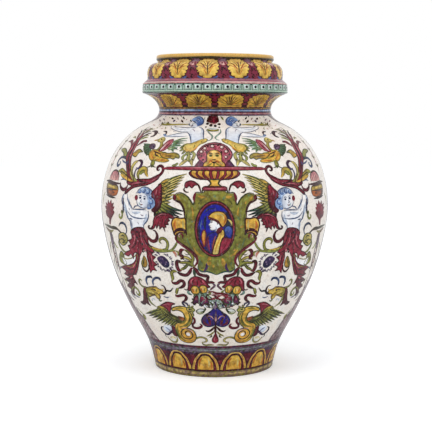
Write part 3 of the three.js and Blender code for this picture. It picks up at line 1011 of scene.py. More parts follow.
# %% The leafy scrolls
def scrolls(s):
    """Leafy scrolls that grow up from the bough."""
    paint(s, """
    5.4 leaf>straw 4 t.2 moss+1.8: -131 51 -10 5 -7 8 -1.5 9 3.5 8 7 4.5;
    7.4 leaf>ochre: -186 65 10 1 12 -5 14 -7 12 -4; 4 yellow>ochre: -176 60 16 -5 14 -4 10 -1;
    5.4 yellow>leaf: -110 59 -5 6 -2 6 -7 1.5 -6 -4.5 -1 -7 4 -6; 4.4 leaf>olive: -127 62 4 5 4 -1;
    5.4 wine>purple 5: -141 85 7 .5 4.5 -4.5 -1 -6 -4.5 -3.5 -4 1.5;
    3 slate>purple: -133 74 -5.5 -5 -.5 -7 3 -6; 3 wine: -131 62 2 -7 7 -4 10 -1;
    1.8 moss: -148 55 -10 4 -14 5 -10 1;
    wash crimson>maroon 4 @.3,-1 wine 1.6: -150 50 -8 11 -6 10 -8 11 -8 10 -1 14 -1 14 3 14 4 16 4 -12 3
      -12 3 -10 1 -12 2 -12 3 -8 5 -10 6 -10 7 -7 3 -7; 4 wine 6: -152 62 -11 16 -7 16 -2 18 -4 16;
    3 pink: -176 96 1 12 -3 10 / -166 88 0 16 0 14; dot 4 purple: -167 80;
    8 maroon 3 t.5: -182 112 -7 9 -9 4 -10 -3 / -163 114 5 7 7 5 8 -1; 7 maroon: -181 128 -6 12 -8 8;
    6.4 wine: -172 126 5 12 8 8 10 4; 5 olive: -176 138 3 13 9 10 11 5; 5.4 maroon: -179 140 -2 14 5 14;
    5 wine: -183 140 -10 12 -11 8; 6 leaf: -168 128 9 7 11 2; 4.4 leaf: -184 150 -6 13 3 12;
    3.4 moss: -172 146 8 7 9 2 / -196 158 9 3 9 -3; 3.4 maroon: -176 152 6 10 5 8;
    3.4 leaf: -166 140 8 2 8 0; 5 olive: -190 132 -8 4 -8 -2;
    wash leaf>olive 3 @-1,0 moss: -179 94 -7 7 -9 5 -11 1 -9 -3 10 -4 8 -2 7 -5 6 -5;
    wash ochre>leaf 5 @1,0 moss: -162 96 4 6 6 5 7 -1 7 -4 -7 -1 -3 -4 -2 -5 -7 1;
    coil 5 ink>slate 3 -193,79 75 11 1.05: -168 84 -12 5; 2.6 slate 5: -166 79 -12 2 -10 4;
    5.6 wine>maroon 3: -171 47 3 -7 8 -3.5 7 2.5 3 6; 2.4 slate: -171 51 7 2 7 -2""")


add_motif(half, scrolls)


# %% The winged child with the bough
def child(s):
    """A child of white glaze, left bare, with a slate outline and blue shadows."""
    paint(s, """
    wash white>body 1 @.3,-1: -147 30 1 -8 6 -7 6 -7 14 1 12 0 5 -4 -1 -7 -5 -8 -4 -5 1 -9 -26 -2 -2 8 1
      8 -8 4 -3 9 -3 7 -5 4 -3 6 3 7 6 5; 7 mist>mist 2 t.4: -156 28 -2 -8 4 -7 5 -9 5 -10;
    5.5 mist>mist: -107 3 -1 -9 -6 -8; 4 mist>mist: -136 4 8 -1 10 2; 6 mist>mist: -138 -8 0 -8 2 -6;
    4 mist>mist: -144 24 2 -8 6 -7; 5 mist>mist: -128 -20 6 -1 7 1;
    2 slate 4: -148 30 2 -8 6 -7 7 -7 / -152 32 -6 -4 -2.5 -8 3.5 -7 5 -4 / -150 12 2 -10 3 -7 5 -5 2 -6
      -2 -9 / -147 6 8 -7 9 -3 14 -.5 10 1.5 / -142 -6 8 -1 / -103 8 .5 -8 -3.5 -8 -6 -6 -1 -7 / -133 8 7
      .6 10 .4 9 0 / -133 8 4 5 6 1; 1.2 mauve: -124 -10 2 -4 / -118 2 3 -2 3 1 / -143 10 3 -4;
    wash white>mist 3 @1,-.3: -127 24 2 -8 6 -4 8 -1 6 2 3 8 -3 8 -7 5 -9 -1;
    wash mist>sky 4 @1,-.4: -128 33 4 5 8 4 9 -1 7 -4 5 -7 3 -7 0 -7 -6 -5 -7 -1 0 6 0 7 -3 7 -8 3.5""")
    for x, y, r in ((-121, 36.5, 3.4), (-113, 38, 3.8), (-105, 36.5, 4), (-99, 30, 4), (-98, 22, 4.2),
                    (-101, 14, 3.6)):
        s.dot(x, y, r, "sky", 5)
        spiral(s, x, y, 200, r + 0.8, 0.9, 1.8, "blue", 6, "slate")
        s.dot(x - 0.8, y + 1, r * 0.3, "mist", 7)
    paint(s, """
    1.8 slate 6: -129 32 5 6.5 8 4 9 -.5 8 -4.5 5 -7.5 3 -8 -1 -7 -6 -5;
    1.5 slate 5: -126 25 1 -8 5 -4 9 -2 6 1 / -116.5 25 -1.5 -4.4 2.4 -.8""")
    for x, y, r in ((-119.5, 26.4, 2.4), (-111, 25.2, 2)):
        s.dot(x, y, r, "slate", 5, 0.8)
        s.dot(x, y, 1.2, "ink", 6)
        s.stroke([(x - 3.2, y + 2.2), (x, y + 3.6), (x + 2.8, y + 2)], 1.2, "slate", 6)
    paint(s, """
    1.6 maroon 6: -119 17 2.5 -1 2.9 1; 2.4 mist>sea 4: -122 20 2 -3 2 -2.4;
    wash crimson>maroon 5: -131 26 2.2 4 3.2 -.4 1.6 -4.2 -2 -3.4 -3 .4;
    coil 4 moss>leaf 3 -164.5,-3 60 7.4 -.95: -157 24 1 -15 -1 -7; 3.4 purple>ink 4: -158 24 2 -14 -.5 -10""")


add_motif(half, child)


# %% The child's wing
def child_wing(s):
    """A crimson shoulder, then long olive feathers above and dark green ones below."""
    wing(s, "-83.5 46 1 -27", "-43 66 -3 -5 -3 -5 -3 -5 -3 -5 -2 -6 -3 -6 -3 -6 -3 -6", 5, ("leaf", "olive"),
         "moss", "moss", 0.04, "straw")
    paint(s, """
    fan 5 ochre>leaf 4 moss .06: -84 48 -1 -6 0 -8 0 -10 / -66 58 -2 -7 -1 -7 -1 -7 -1 -6 -1 -6;
    fan 4.4 yellow>olive 5 moss .04: -88 46 0 -8 0 -8 1 -10 / -77 49 -1 -7 0 -7 0 -7 0 -6""")
    wing(s, "-79 20 -12 -14", "-43 9 -4 -5 -5 -3 -5 -2 -6 0 -6 0 -6 -2 -7 -1 -8 0", 3.6,
         ("green", "moss", "moss"), "teal", "black", -0.05)
    paint(s, """
    fan 3.6 leaf>olive 4 moss -.04: -82 22 -4 -6 -4 -6 / -60 13 -4 -4 -5 -3 -8 -2 -8 -2;
    wash crimson>wine 6 @.2,-1 wine 1.6: -84 49 -7 -6 -7 -7 -1 -6 6 -5 2 -9 -6 -7 5 -3 7 5 4 9 0 13;
    3 maroon 7: -88 42 0 -10 3 -12; 1.6 pink 8: -90 40 -1 -8""")
    for y in range(14, 46, 4):
        s.dot(-82.6, y, 1.5, "wine", 7)


add_motif(half, child_wing)


# %% The acanthus body
def leaf_body(s):
    """The child ends in maroon acanthus, with torn leaves that run down and out."""
    paint(s, """
    wash crimson>wine 3 @-.4,-1 wine 1.4: -131 -58 2 -8 -5 -12 -7 -13 -7 -9 0 0 -6 -1 -4 -2 2 -8 4 -9 0 0
      -7 3 -4 -4 -3 -7 -6 -8 -5 -12 0 0 -9 7 4 7 -11 5 0 0 9 6 6 3 -15 4 0 0 11 5 10 3 -15 4 0 0 9 6 -13
      6 0 0 11 4 10 2 12 3 10 4 8 7 3 8;
    wash maroon>crimson 3 @0,-1 wine 1.4: -120 -53 7 -3 0 -10 1 -12 0 -15 0 0 6 6 8 -1 0 0 -4 7 7 4 0 0
      -7 7 6 6 0 0 -7 4 5 5 -8 3 -8 1;
    wash maroon>crimson 4 @.3,-1 wine 1.4: -141 -27 5 5 8 3 10 1 5 -1 4 -6 3 -8 -1 -7 4 -7 6 -9 0 0 -7 0
      -8 3 -6 2 -4 -5 -4 -6 -4 -4 -4 6 -7 -2 -4 -10 0 0 -4 8 -8 -4 -12 2 0 0 9 5 10 4 -3 7 0 0 7 3 -4 6 0
      0 9 3 1 6;
    2 wine 6: -130 -22 0 -14 -6 -12 -12 -7 / -124 -21 0 -15 -5 -14 -4 -18 -9 -16 -12 -14 -10 -14 -10 -18
      / -117 -21 2 -11 6 -12 7 -8 / -111 -56 4 -12 0 -16 / -150 -90 -14 -2 -16 0 / -156 -100 -12 -2 -12
      -2 / -162 -110 -12 -4 -12 -2;
    1.5 pink: -134 -26 0 -12 -8 -12 / -120 -26 1 -12 4 -8 / -140 -76 -10 -10 -12 -4 / -104 -60 0 -12 /
      -160 -106 -10 -4""")
    for _ in range(26):
        x, y = s.random.uniform(-137, -110), s.random.uniform(-58, -22)
        s.dot(x, y, s.random.uniform(1, 2.2), s.random.choice(["wine", "purple", "black", "pink"]), 6)
    paint(s, """
    5.6 maroon>wine 5: -112 -25 6 -7.5 7 -5.5 7 1.5 3 7.5 -3 7 -4 1;
    4.6 black>slate 3 e3: -171 -21 5 5 7 1.5 6 -2.5 2.5 -6 -1.5 -6 -5 -3;
    wash white>body 2 @.3,-1 olive 1.6: -133 -61 -8 -6 -13 -5 -13 -2 -13 2 5 -12 19 -2 18 10;
    wash ochre>olive 4 @-1,0 moss: -119 -64 4 -10 -3 -8 -6 -2 -4 5 4 8; 2.4 moss 6: -119 -66 -3 -8 -4 -7;
    3.2 wine 5: -113 -78 -1 -8 -6 -5 -6 4 -2 7; 3.8 moss 2: -204 -26 14 2 12 -1 10 -6;
    wash straw>olive 3 @1,-.3 moss 1.6: -171 -32 11 2 7 -3 2 -8 -7 -7 -10 -3 -8 6 1 9;
    2.2 moss 4: -168 -36 6 2 5 -3 / -172 -43 6 3 6 -3 5 3 / -168 -48 6 3 5 -1;
    4.4 moss>leaf 3: -171 -40 -7 -7 3 -8 8 -6 11 -1;
    wash olive>leaf 2 @-1,-1 moss: -176 -62 6 -4 -1 -8 4 -8 -10 -3 -12 5 2 8 6 7;
    2 moss 4: -176 -66 -2 -8 4 -7 / -182 -70 -2 -8;
    coil 3 leaf 3 moss+2.4 -163,-138 100 11 -.95: -181 -137 7 7;
    3 slate 2: -178 -141 8 -6 9 -2 / -200 -96 8 4 6 0 / -190 -140 6 -10 8 -4""")


add_motif(half, leaf_body)


# %% The curled leaf
def curled_leaf(s):
    """A crimson leaf whose lobes curl under."""
    paint(s, """
    wash maroon>crimson 4 @-1,-.3 wine: -59 -2 -3 4 -4 2 -4 2 -5 .6 -5 0 -4 -1.6 -4 -3 -4 -3 -2 -5 -1 -6
      -3 -8 0 0 5 3 2 5 2 -6 0 0 3 5 2 -2 0 -4 0 0 5 4 4 -7 0 0 -1 6 3 1 -1 3 5 1 0 0 -1 4 3 2 -2 3 3 1 3
      -1;
    1.5 wine 5: -66 1 -10 2 -10 -3 -6 -8 / -72 2 -6 -6 -2 -8 / -78 2 -6 -8 -4 -7 / -70 -1 -4 -5 -2 -6;
    2.4 crimson: -82 -2 -2 -6 0 -5 / -74 2 -3 -8 0 -6; 1.2 pink 6: -72 4 -8 0 -8 -4;
    coil 3.2 wine 5 -101,-15.5 20 5 -.9:""")
    for x in range(-92, -64, 5):
        s.dot(x, 6.6 - abs(x + 76) * 0.2, 1.6, "wine", 5)


add_motif(half, curled_leaf)


# %% Tendrils and the aster
def tendrils(s):
    """Fine green shoots, a double scroll and a purple aster in a ring of dots."""
    paint(s, """
    3.6 leaf 4 moss+1.8: -110 -42 8 -7 12 -4 14 .5 16 1.5;
    coil 3 leaf>olive 3 moss+1.8 -82,-39 -60 12.5 .85: -100 -48 14 -4;
    1.8 leaf 4 moss+1.8: -72 -52 8 4 6 8 2 7; 2.4 yellow 5: -104 -46 10 -4 12 0;
    2.4 brown: -114 -38 8 -7 10 -3; 4 orange>shell 3: -66 -51 5 -5 1 -6; 3 olive 4: -61 -51 5 -3 -1 -6;
    wash purple>ink 2 @.6,-.8: -94 -66 8 5 7 -2 6 -8 -1 -8 -7 -2 -7 5""")
    for k in range(9):
        s.dot(-83 + 5 * math.cos(k * 0.9), -71 + 5 * math.sin(k * 0.9), 1.4, "ink" if k % 2 else "mauve", 3)
    for k in range(34):
        a = 2 * math.pi * k / 34
        out = np.array([math.cos(a), math.sin(a)])
        middle = np.array([-81, -72])
        near, far = 11 + k % 3, 16 + 1.5 * math.sin(2.3 * k)
        if out @ (-0.7, 0.7) < 0.75:
            s.stroke([middle + near * out, middle + (near + far) / 2 * out, middle + far * out], 2.2,
                     "ink" if k % 3 else "mauve", 2)
    paint(s, """
    2.4 purple 3: -92 -62 -3 2 -3 0 / -88 -60 -2 3 -4 1 / -74 -80 3 -4 5 -2 / -79 -82 2 -4 4 -2""")


add_motif(half, tendrils)


# %% The ribbons and the bell flower
def ribbons(s):
    """Maroon ribbons tied in bows, with a bell flower between them."""
    paint(s, """
    3.4 leaf>olive 4 t.2 brown+1.9: -30 -78 -5 6 2 10 -6 9 -7 4;
    4 maroon>wine: -46 -49 -5 -1 -2 -7 4 -4 -4 -4; 3 straw>olive: -54 -63 8 2 7 -3 5 -8;
    4.4 wine>maroon: -53 -68 -6 -1 -1 -8 3 -7 5 1; 3 olive>leaf: -56 -71 10 1 8 -1 4 -5;
    3 leaf>moss: -55 -83 8 4 6 6 6 -4; 4 maroon>wine: -36 -78 -4 -9 -6 -5 -8 1 -7 4;
    4 olive>leaf: -61 -87 -6 1 -4 -4 1 -8 -2 -6;
    4 maroon>wine: -73 -103 2 -5 7 0 7 5 5 -1 1 -6 -5 -5 -7 -3; 3.8 leaf>olive: -63 -117 -3 -6 -2 -7;
    4 maroon>wine: -69 -130 0 -4 7 1 8 2 4 -5 -3 -6 -4 -4; 2.2 wine>slate: -55 -142 -4 -7 5 -7;
    1.6 slate>ink: -57 -147 6 -2 1 -5; 4 maroon>wine: -34 -77 5 -5 4 -7 8 -3 7 -1 2 -4;
    3.4 wine>maroon: -9 -93 -2 -6 0 -5 7 0 5 -1; 1.8 mauve>maroon: -3 -106 4 -4 -4 -5 -4 -4""")
    for x, y in ((-42, -57), (-46, -66), (-46, -76), (-39, -68)):
        s.stroke([(x - 4, y + 2), (x, y), (x + 4, y + 1)], 1.4, "moss", 5)
    paint(s, """
    4.4 teal>moss 2: -33 -80 1 -8 1 -7;
    wash maroon>crimson 3 @.3,1 wine 1.8: -45 -121 1 9 1 8 5 7 7 3 8 -1.5 8 -5.5 4 -7 4 -5 -6 -1.5 -5 3.5
      -6 -7 -6 6 -7 -7; 2.4 wine 4: -44 -119 -5 -1 -3 2;
    1.6 wine 5: -36 -112 0 8 4 6 / -28 -112 0 8 -2 6 / -20 -108 -2 6 -5 5;
    1.2 pink: -39 -108 1 6 3 4 / -16 -106 -4 6""")
    petal = ((-1, -0.1), (-0.8, 0.7), (-0.1, 1.1), (0.7, 0.8), (1, 0), (0.8, -0.8), (0.1, -1.1), (-0.7, -0.9))
    for x, y, w in ((-32.5, -119.5, 7.4), (-18.5, -117.5, 7)):
        s.wash([(x + w * a, y + w * b) for a, b in petal], "yellow", "ochre", (-0.7, -1), 5, "moss", 1.8)
        s.dot(x - 0.5, y + 1.5, w * 0.5, "lemon", 6, 1, 14)
        s.stroke([(x - 4.4, y + 3), (x - 3.4, y - 1), (x - 4, y - 5)], 2.6, "orange", 7)
        s.stroke([(x + 3.6, y + 4), (x + 2, y - 1), (x + 3, y - 5.4)], 2, "olive", 7)
    paint(s, """
    2.8 moss 8: -27 -112 2 -6 3 -6 5 -6; 5 sea>teal 3 t.4: -44 -119 -1 -7 6 -4;
    4 olive>moss: -26 -116 3 -8 4 -7; 5 leaf>moss: -10 -119 3 -5 -4 -7; 3.6 leaf>teal: -38 -127 6 -3 6 2;
    3.4 sea>moss: -22 -128 6 -1 5 3; 3 brown>wine: -30 -128 -4 -8 -1 -8 4 -4 / -22 -128 4 -9 4 -6 4 -3;
    wash purple>maroon 4 @.2,1 wine 1.6: -30 -130 -5 -5 -2 -7 -1 -8 0 0 5 4 3 -1 2 8;
    wash purple>crimson 4 wine 1.6: -21 -130 -4 -7 0 -9 4 -6 0 0 4 5 5 -5 0 0 2 8 -4 9;
    1.5 pink 6: -32 -135 -1 -6 / -19 -134 -1 -8 / -16 -137 1 -7;
    3.4 ink 4: -34 -146 -4 -3 3 -3 / -14 -145 5 -5 -2 -6 / -22 -147 -3 -4 3 -4;
    3 teal 3: -27 -140 2 -7 -3 -6""")


add_motif(half, ribbons)


# %% The small dragon
def small_dragon(s):
    """A yellow dragon's head on a maroon neck, with feelers and a black tongue."""
    paint(s, """
    wash maroon>wine 2 @-.3,-1 wine 1.6: -134 -122 8 -1 6 -2 -7 -9 -9 -12 -2 -10 2 -7 -10 4 -6 -4 -8 0 -4
      4 10 4 7 11 5 12; 2.6 brown 4: -133 -128 -4 -12 -7 -13;
    3 leaf 3 moss+2: -131 -132 -3 -14 3 -10 11 -8;
    wash olive>yellow 4 @1,.4 brown 1.6: -134 -127 7 5 10 2.5 10 1 5 -3.5 5 -2 4 -4 -5 -4 -5 -1 0 -6 -4
      -6 -5 4 -2 4 -8 -2 -8 -3 -4 6;
    1.7 brown 6: -134 -125 10 4 12 1 8 -2 / -128 -134 10 -2 6 3 / -112 -130 5 -3 3 -6 / -121 -126 6 2 5
      -3; 2.4 straw 5: -130 -131 10 0 8 -3 / -104 -126 5 -2 / -108 -137 0 -5; dot 2 black 7: -111 -125.5;
    4 brown>wine 3: -103 -125 5 -4 6 -1 4 6 -2 8 -6 2; 2.4 yellow 5: -99 -122 5 -2 2 4;
    3 leaf>moss 4: -108 -142 1 -6 6 1;
    3.4 slate>ink 3 t.12 e5: -125 -118 -1 9 4 7 9 2 2 -3 / -112 -117 1 9 6 6 8 1 3 -5;
    3.6 black 3: -100 -133 8 1.5 6 7 7 0 7 7.5; 2.4 slate: -96 -137 7 -2 6 2;
    coil 1.8 leaf 3 moss+2.2 -139,-112 265 9.5 -.72: -120 -124 -10 0; coil 2.4 mist 1 -120,-149 200 7 -.6:""")


add_motif(half, small_dragon)


# %% The coiled dragon
def serpent(s):
    """The yellow coiled dragon: a bent neck, a belly coil, a crimson crest and an olive wing."""
    wing(s, "-112 -166 30 -30", "-165 -187 10 -4 8 -4 9 -4 7 -3 8 -3 8 -2 7 -1 7 -1 6 0", 4.2,
         ("moss", "olive"), "moss", "black", 0.05, "leaf")
    paint(s, """
    wash olive>moss 3 @.4,-1: -119 -164 9 5 7 -1 6 -7 9 -8 12 -6 14 -2 0 -11 -12 -3 -14 1 -11 6 -11 7 -8
      7;
    2.2 black 5: -108 -170 10 -10 12 -8 / -112 -175 10 -9 10 -7 / -96 -176 12 -9 / -84 -190 8 -4 / -104
      -164 7 -8 11 -8 16 -6; 2.4 leaf 4: -112 -166 8 -6 6 -8 / -114 -172 6 -8 / -92 -182 12 -7;
    5 yellow>olive: -112 -162 8 -1 8 -7; wash brown>orange 6 @1,0: -74 -180 7 -1 7 -3 0 -6 -8 -1 -6 4;
    wash crimson>maroon 6 @-1,.3 wine 1.7: -109 -159.5 9 6.5 8 4 8 0 9 -2.5 -7 -3.5 -3 -6 -3 -7 -2 -6 -5
      7 -6 6; 2 pink 7: -103 -157 9 3 8 1;
    wash yellow>ochre 5 @.5,-1 moss 2.2: -45 -161 -9 3.5 -11 1.5 -10 -2 -8 -4 -1 -6 9 2 7 -1 6 -4 2 -9 -3
      -10 -8 -6 -10 -3 -6 -7 -2 -14 1 -15 4 -11 10 -7 14 -1.5 12 5.5 6 10 .5 12 -4.5 11 -8 5 -5 2 7 7 6
      10 2 11 -1 10;
    3 moss>brown 8 t.12: -56 -212 -12 -2 -8 -9 0 -10 7 -8 10 -1 8 6 2 9 -5 8 -8 0 -4.5 -7 2.5 -7 6 -2;
    3.4 olive 6 t.5: -56 -162 -10 2 -10 -3; 6 moss>olive: -50 -170 1 -14 -5 -12 -10 -8 -12 -4;
    6 olive: -80 -206 -4 -14 2 -16 8 -11 12 -3; 4 olive: -62 -174 4 -10 -6 -11 -12 -6;
    2.6 olive: -47 -176 -1 -12 -6 -12 -10 -8; 4 ochre: -45 -226 -1 -12 -8 -9 -10 -2;
    3 moss: -86 -212 -1 -18 5 -14; 3.4 shell: -72 -212 10 1 10 -5 6 -8; 3.6 ochre: -72 -220 1 -12 7 -5""")
    s.dot(-59.5, -228, 5.2, "white", 7, 1, 16)
    for k in range(9):
        s.stroke([(-52 + k * 0.3, -168 - 4.5 * k), (-46.5 - k * 0.4, -169.5 - 4.5 * k)], 1.3, "olive", 7)
    paint(s, """
    wash straw>leaf 7 @1,0 moss 1.6: -40 -158 -8 1 -5 -4 2 -6 5 -4 2 -8 4 3 -1 8 4 4;
    dot 1.8 black 9: -47 -162; 1.6 moss: -51 -165 5 -2 5 3 / -50 -159 5 -2 5 1;
    fan 3 straw>olive 6 moss: -48 -158 6 0 / -46 -151 7 -2""")


add_motif(half, serpent)


# %% The foot of the panel
def serpent_foot(s):
    """Maroon scrolls, green loops and a tendril that ties the two serpents together."""
    paint(s, """
    wash mist>body 1 @-.6,1: -122 -214 8 5 11 1 7 -3 -3 -8 -7 -8 -9 -2 -6 5;
    4 sky>mauve 2: -116 -214 8 -6 4 -6;
    wash maroon>wine 3 @-1,0 wine: -93 -205 4 -9 2 -12 -2 -11 -7 0 -4 7 2 11 1 9;
    5.4 purple>black 3 t.3: -98 -223 -8 -7 -12 -6 -8 5 -4 7 2 7 7 3;
    6 wine>purple 4: -96 -219 -7 -8 -9 -4; 2.4 moss 3: -120 -233 -5 -7 3 -7;
    2 leaf>straw 4 t.25 moss+2.6: -92 -237 0 -10 -6 -9 -10 -1 -8 7 -3 8;
    2.8 leaf>straw: -50 -248 9 9 11 4 10 -3.5 3 -6.5 -5 -4.5 -8 -.5;
    2.4 leaf>straw: -28 -250 1 -6 7 -3.5 10 1.5 11 -1;
    wash body>straw 1: -97 -241 1 -7 -5 -5 -8 1 -4 6 7 6;
    4.4 maroon>wine 4 t.2 e6: -44 -178 4 -8 -.5 -7 -5 -7 1.5 -6;
    6.6 wine>maroon 5 t.3: -45.5 -198 .5 -8 7 -3 8 2 4 6 -4 4.5""")


add_motif(half, serpent_foot)


# %% The side candelabra
def candelabrum(s):
    """A stack of dome, bars and plumes at the edge of the panel."""
    paint(s, """
    wash shell>pink 2: -213 50 1 7 7 6.5 10 2 9 -2.5 6 -6 1 -7;
    2.8 brown 4: -213 48 1 9 7 6.5 10 2 9 -2.5 6 -6 1 -9;
    2 umber 3: -206 61 0 -10 / -199 63 0 -12 / -192 64 0 -13 / -186 62 1 -11;
    5 brown>wine 4: -228 46 16 .6 20 -2 23 .4;
    wash ochre>olive 3 brown 1.7: -219 43 23 -1 18 -1 4 -6 -4 -8 -18 -2 -18 2 -6 8;
    wash brown>orange 4 @.6,.3: -219 35 23 -1 21 0 -2 -7 -19 -2 -18 2;
    4 orange>brown 5: -206 30 12 0 10 .5; 3 straw>yellow 4: -216 40 16 -1 16 -1;
    2.4 brown 6: -219 35.5 21 -1.1 23 .4; 3.6 brown>black 3: -217 24.5 19 -1.7 19 -.8;
    6 maroon: -199 -20 1 12 -2 12; 2.8 brown>black 3 t.2: -198 -36 0 -18 0 -18 -2 -14 -5 -22;
    2.6 umber>olive: -208 -38 -1 -18 0 -18 -2 -14 -7 -18;
    wash crimson>wine 4 @0,-1 maroon 1.6: -202 -20 0 9 -11 4 -3 6 5 1 -8 6 7 0 -4 6 8 -2 2 7 0 0 6 -5 6 6
      0 0 3 -6 6 2 0 0 -2 -6 5 0 0 0 -4 -5 4 -3 -6 -6 -7 -6 -5 -8;
    4.4 moss>brown 6: -232 -23 17 -1 19 -1 20 -1 12 -5; 5 umber>olive 4: -226 -27 14 -4 10 -1 12 3;
    wash wine>mauve 3 @0,-1: -208 -31 8 0 0 -15 -3 -14 -5 14;
    5 umber>shell 1 t.7: -205 -50 -1 -16 2 -20 -1 -20""")
    for y in (-54, -70, -86):
        s.stroke([(-211, y + 3), (-205, y), (-199, y + 3)], 2.2, "umber", 2)
        s.dot(-205, y - 5, 2.4, "wine", 3)
    paint(s, """
    4 shell>umber 1: -222 60 -4 12 2 14 -4 14 3 18 -3 22""")
    for y in (72, 88, 104, 122):
        s.stroke([(-234, y + 4), (-226, y), (-219, y + 5)], 3, "leaf", 2, "moss")
    paint(s, """
    4 leaf 1 t.5: -214 -50 -8 -10 -2 -12; 3.4 leaf: -196 -48 6 -8 6 -2; 4 moss: -214 -78 -8 -10 1 -12;
    4 umber: -205 -106 1 -16 -4 -18 5 -20; 3.4 leaf: -198 -112 6 -8 2 -10;
    3.4 moss: -210 -120 -8 -10 -1 -12; 3 maroon: -203 -150 7 -8 8 -2 / -206 -150 -6 -10 -2 -12;
    3.4 leaf: -226 28 -8 -8 -2 -12; 4 leaf: -190 -178 6 -8 8 -4; 4 moss: -196 -176 0 -14 6 -10;
    wash leaf>olive 1: -180 -192 8 1 2 -7 -5 -7 -7 2""")


add_motif(half, candelabrum)
print("marks in one half:", len(half.points), "points:", half.count)


# %% [markdown]
# ## The pieces on the axis
# What stands on the axis is drawn whole, so no seam shows: an outline is planned for its left side
# and turned over about the same leaning axis.

# %% A sheet for the axis
axis_marks = Sheet(5)


# %% The frame
def cartouche(s):
    """Olive strapwork with horns above, a yellow roll at each side and a tongue below."""
    edge = both_sides("0 41 -13 0 0 0 -4 -4 -11 -.5 0 0 -1 -9.5 -2 -7 -5 7 -7 6 -8 2.5 -7 -1.5 -2 -6 2 -3"
                      " 6 -2 5 -6 3 -9 0 -10 -1 -12 -3 -8 -7 -5 -2 -5 4 -6 8 -5 8 -6 7 -7 4 -9 0 -8 1 -7"
                      " 6 -4 7 0 7 -2 6 -4")
    s.wash(edge, "olive", "cress", (0.2, -1), 1)
    mottle(s, edge, 150, 9, 5.4, ["olive", "cress", "ochre", "leaf", "green", "olive", "cress", "moss"], 2)
    paint(s, """
    both 7 leaf>olive 2 t.5: -38 26 2 -14 -1 -18 1 -18 6 -20; both 6 ochre>olive: -24 32 8 -2 7 -4;
    both 5 leaf>olive: -50 31 8 -6 2 -9; both 6 cress>olive: -48 -30 8 -8 10 -14;
    both 7 green>olive: -22 -64 1 -8 3 -8; both 8 ochre>olive: -6 -62 -2 -8 -1 -10;
    both 7 leaf>olive: -2 -64 1 -10 -2 -10; both 5 olive>olive: -13 -66 -1 -8 3 -8;
    both 3 green>olive: -41 -30 5 -14 9 -10; both 4 moss>olive: -41 6 0 -16 -1 -12;
    both 3 ochre>olive: -33 16 2 -12 -1 -14; both 4 ochre>olive: -56 32 3 -4 5 -4;
    both 3 moss>olive: -24 20 4 6 8 4; both 4 ochre>olive: -30 -48 6 -8 10 -4;
    both 3 cress>olive: -28 -34 2 -10 6 -8; 5 leaf: -5 36 7 1 7 -1;
    both 2.2 moss 4: -13 42 -4 -4.5 -11 -.5 -1.5 -10 -1.5 -7.5 -6 8.5 -7 6 -7 2.5 -7 -1.5 -2 -6;
    both 3.4 brown: -61 34 -1 -6 5 -3.5 6 -2.5 5 -7 2 -9 0 -8;
    both 4 maroon: -28 38 -2 -8 .5 -7 / -61 34 2 -5 -2 -4;
    both 5 maroon: -54 -25 -5 -5 3 -6 10 -7 9 -6.5 7.5 -7.5 3.5 -9 -2 -6 -8 -9;
    both 1.7 brown: -56 -34 9 -7 9 -6.5 7 -7.5 3 -8; both 2.6 teal: -26 -75 1 -6 6 -4 7 .5 7 -2 8 -4;
    both 4 purple: -12 -70 0 -8 -5 -7; both 1.6 moss: -41 -2 -1 -12 -2 -10;
    both wash ochre>yellow 5 @1,.3 brown 2: -62 -3 4 3 8 -1 7 0 1 -11 -1 -10 -9 0 -7 -5 -3.5 9 -1.5 8;
    both 3.4 orange 7: -58 -4 -1.5 -8 2.5 -7; both 3 straw: -47 -4 1 -8 -1 -6;
    both 5 wine: -61 -26 3 6 8 2.5 7 -2.5 2 -6; both 3 brown: -57 -33 1 8 5 2.5;
    both 2.8 maroon: -52 -23 4.5 -3 -.5 -6; both 2 shell: -54 -26 2 -4""")


add_motif(axis_marks, cartouche)


# %% The urn
def urn(s):
    """The gadrooned urn that stands on the frame, with the shelf and a comma scroll at each side."""
    paint(s, """
    5.6 crimson 3 t.06: -85 73.6 25 1 40 .4 40 0 40 -.4 25 -1;
    1.3 wine 5: -80 76.6 40 1.4 40 .2 40 -.2 40 -1.4 / -82 72 42 -.2 40 -.2 40 .2 42 .2;
    1.3 pink: -60 75.4 40 .6 40 0 40 -.6;
    whole wash maroon>crimson 2 @1,.2 wine 1.8: 0 72 -34 0 0 0 -5.5 -4 1.5 -4 6 -4 10 -2.5 12 -1 4 -5.5
      -4 -5 10 0""")
    for x, foot in ((-32, -24), (-22, -15), (-11.5, -7), (0, 0), (11.5, 7), (22, 15), (32, 24)):
        s.wash([(x - 3.6, 70.6), (x + 3.4, 70.6), (x + 3.2, 65), (foot + 1.4, 58.4), (foot - 1.4, 58.4),
                (x - 3.6, 65)], "yellow", "orange", (0, -1), 3, "brown", 1.2)
    paint(s, """
    whole wash yellow>ochre 4 @-1,-1 moss: 0 57 -7 -.5 2 -5.5 -4.5 -5 9.5 0;
    whole wash maroon>crimson 5 brown 1.6: 0 46.6 -14 0 -4 -2.6 1 -3.6 0 0 17 0;
    1.3 pink 6: -14 43.4 14 -.2 15 .2; both 2.4 moss 5: -18 42 -.5 -6;
    both 2.8 brown: -30 53 5 -3.5 3 -5.5 2 -7; both 2.4 brown: -44 46 -2 -4.5 3 -3.5 5 -.4;
    both 1.6 brown: -12 57 -12 1.5 -10 2.5;
    both wash crimson>maroon 2 wine: -45 46 1 6 7 3 7 -1.5 5 -4.5 -5 -1 -4 -4 -4 3 -4 -3""")


add_motif(axis_marks, urn)


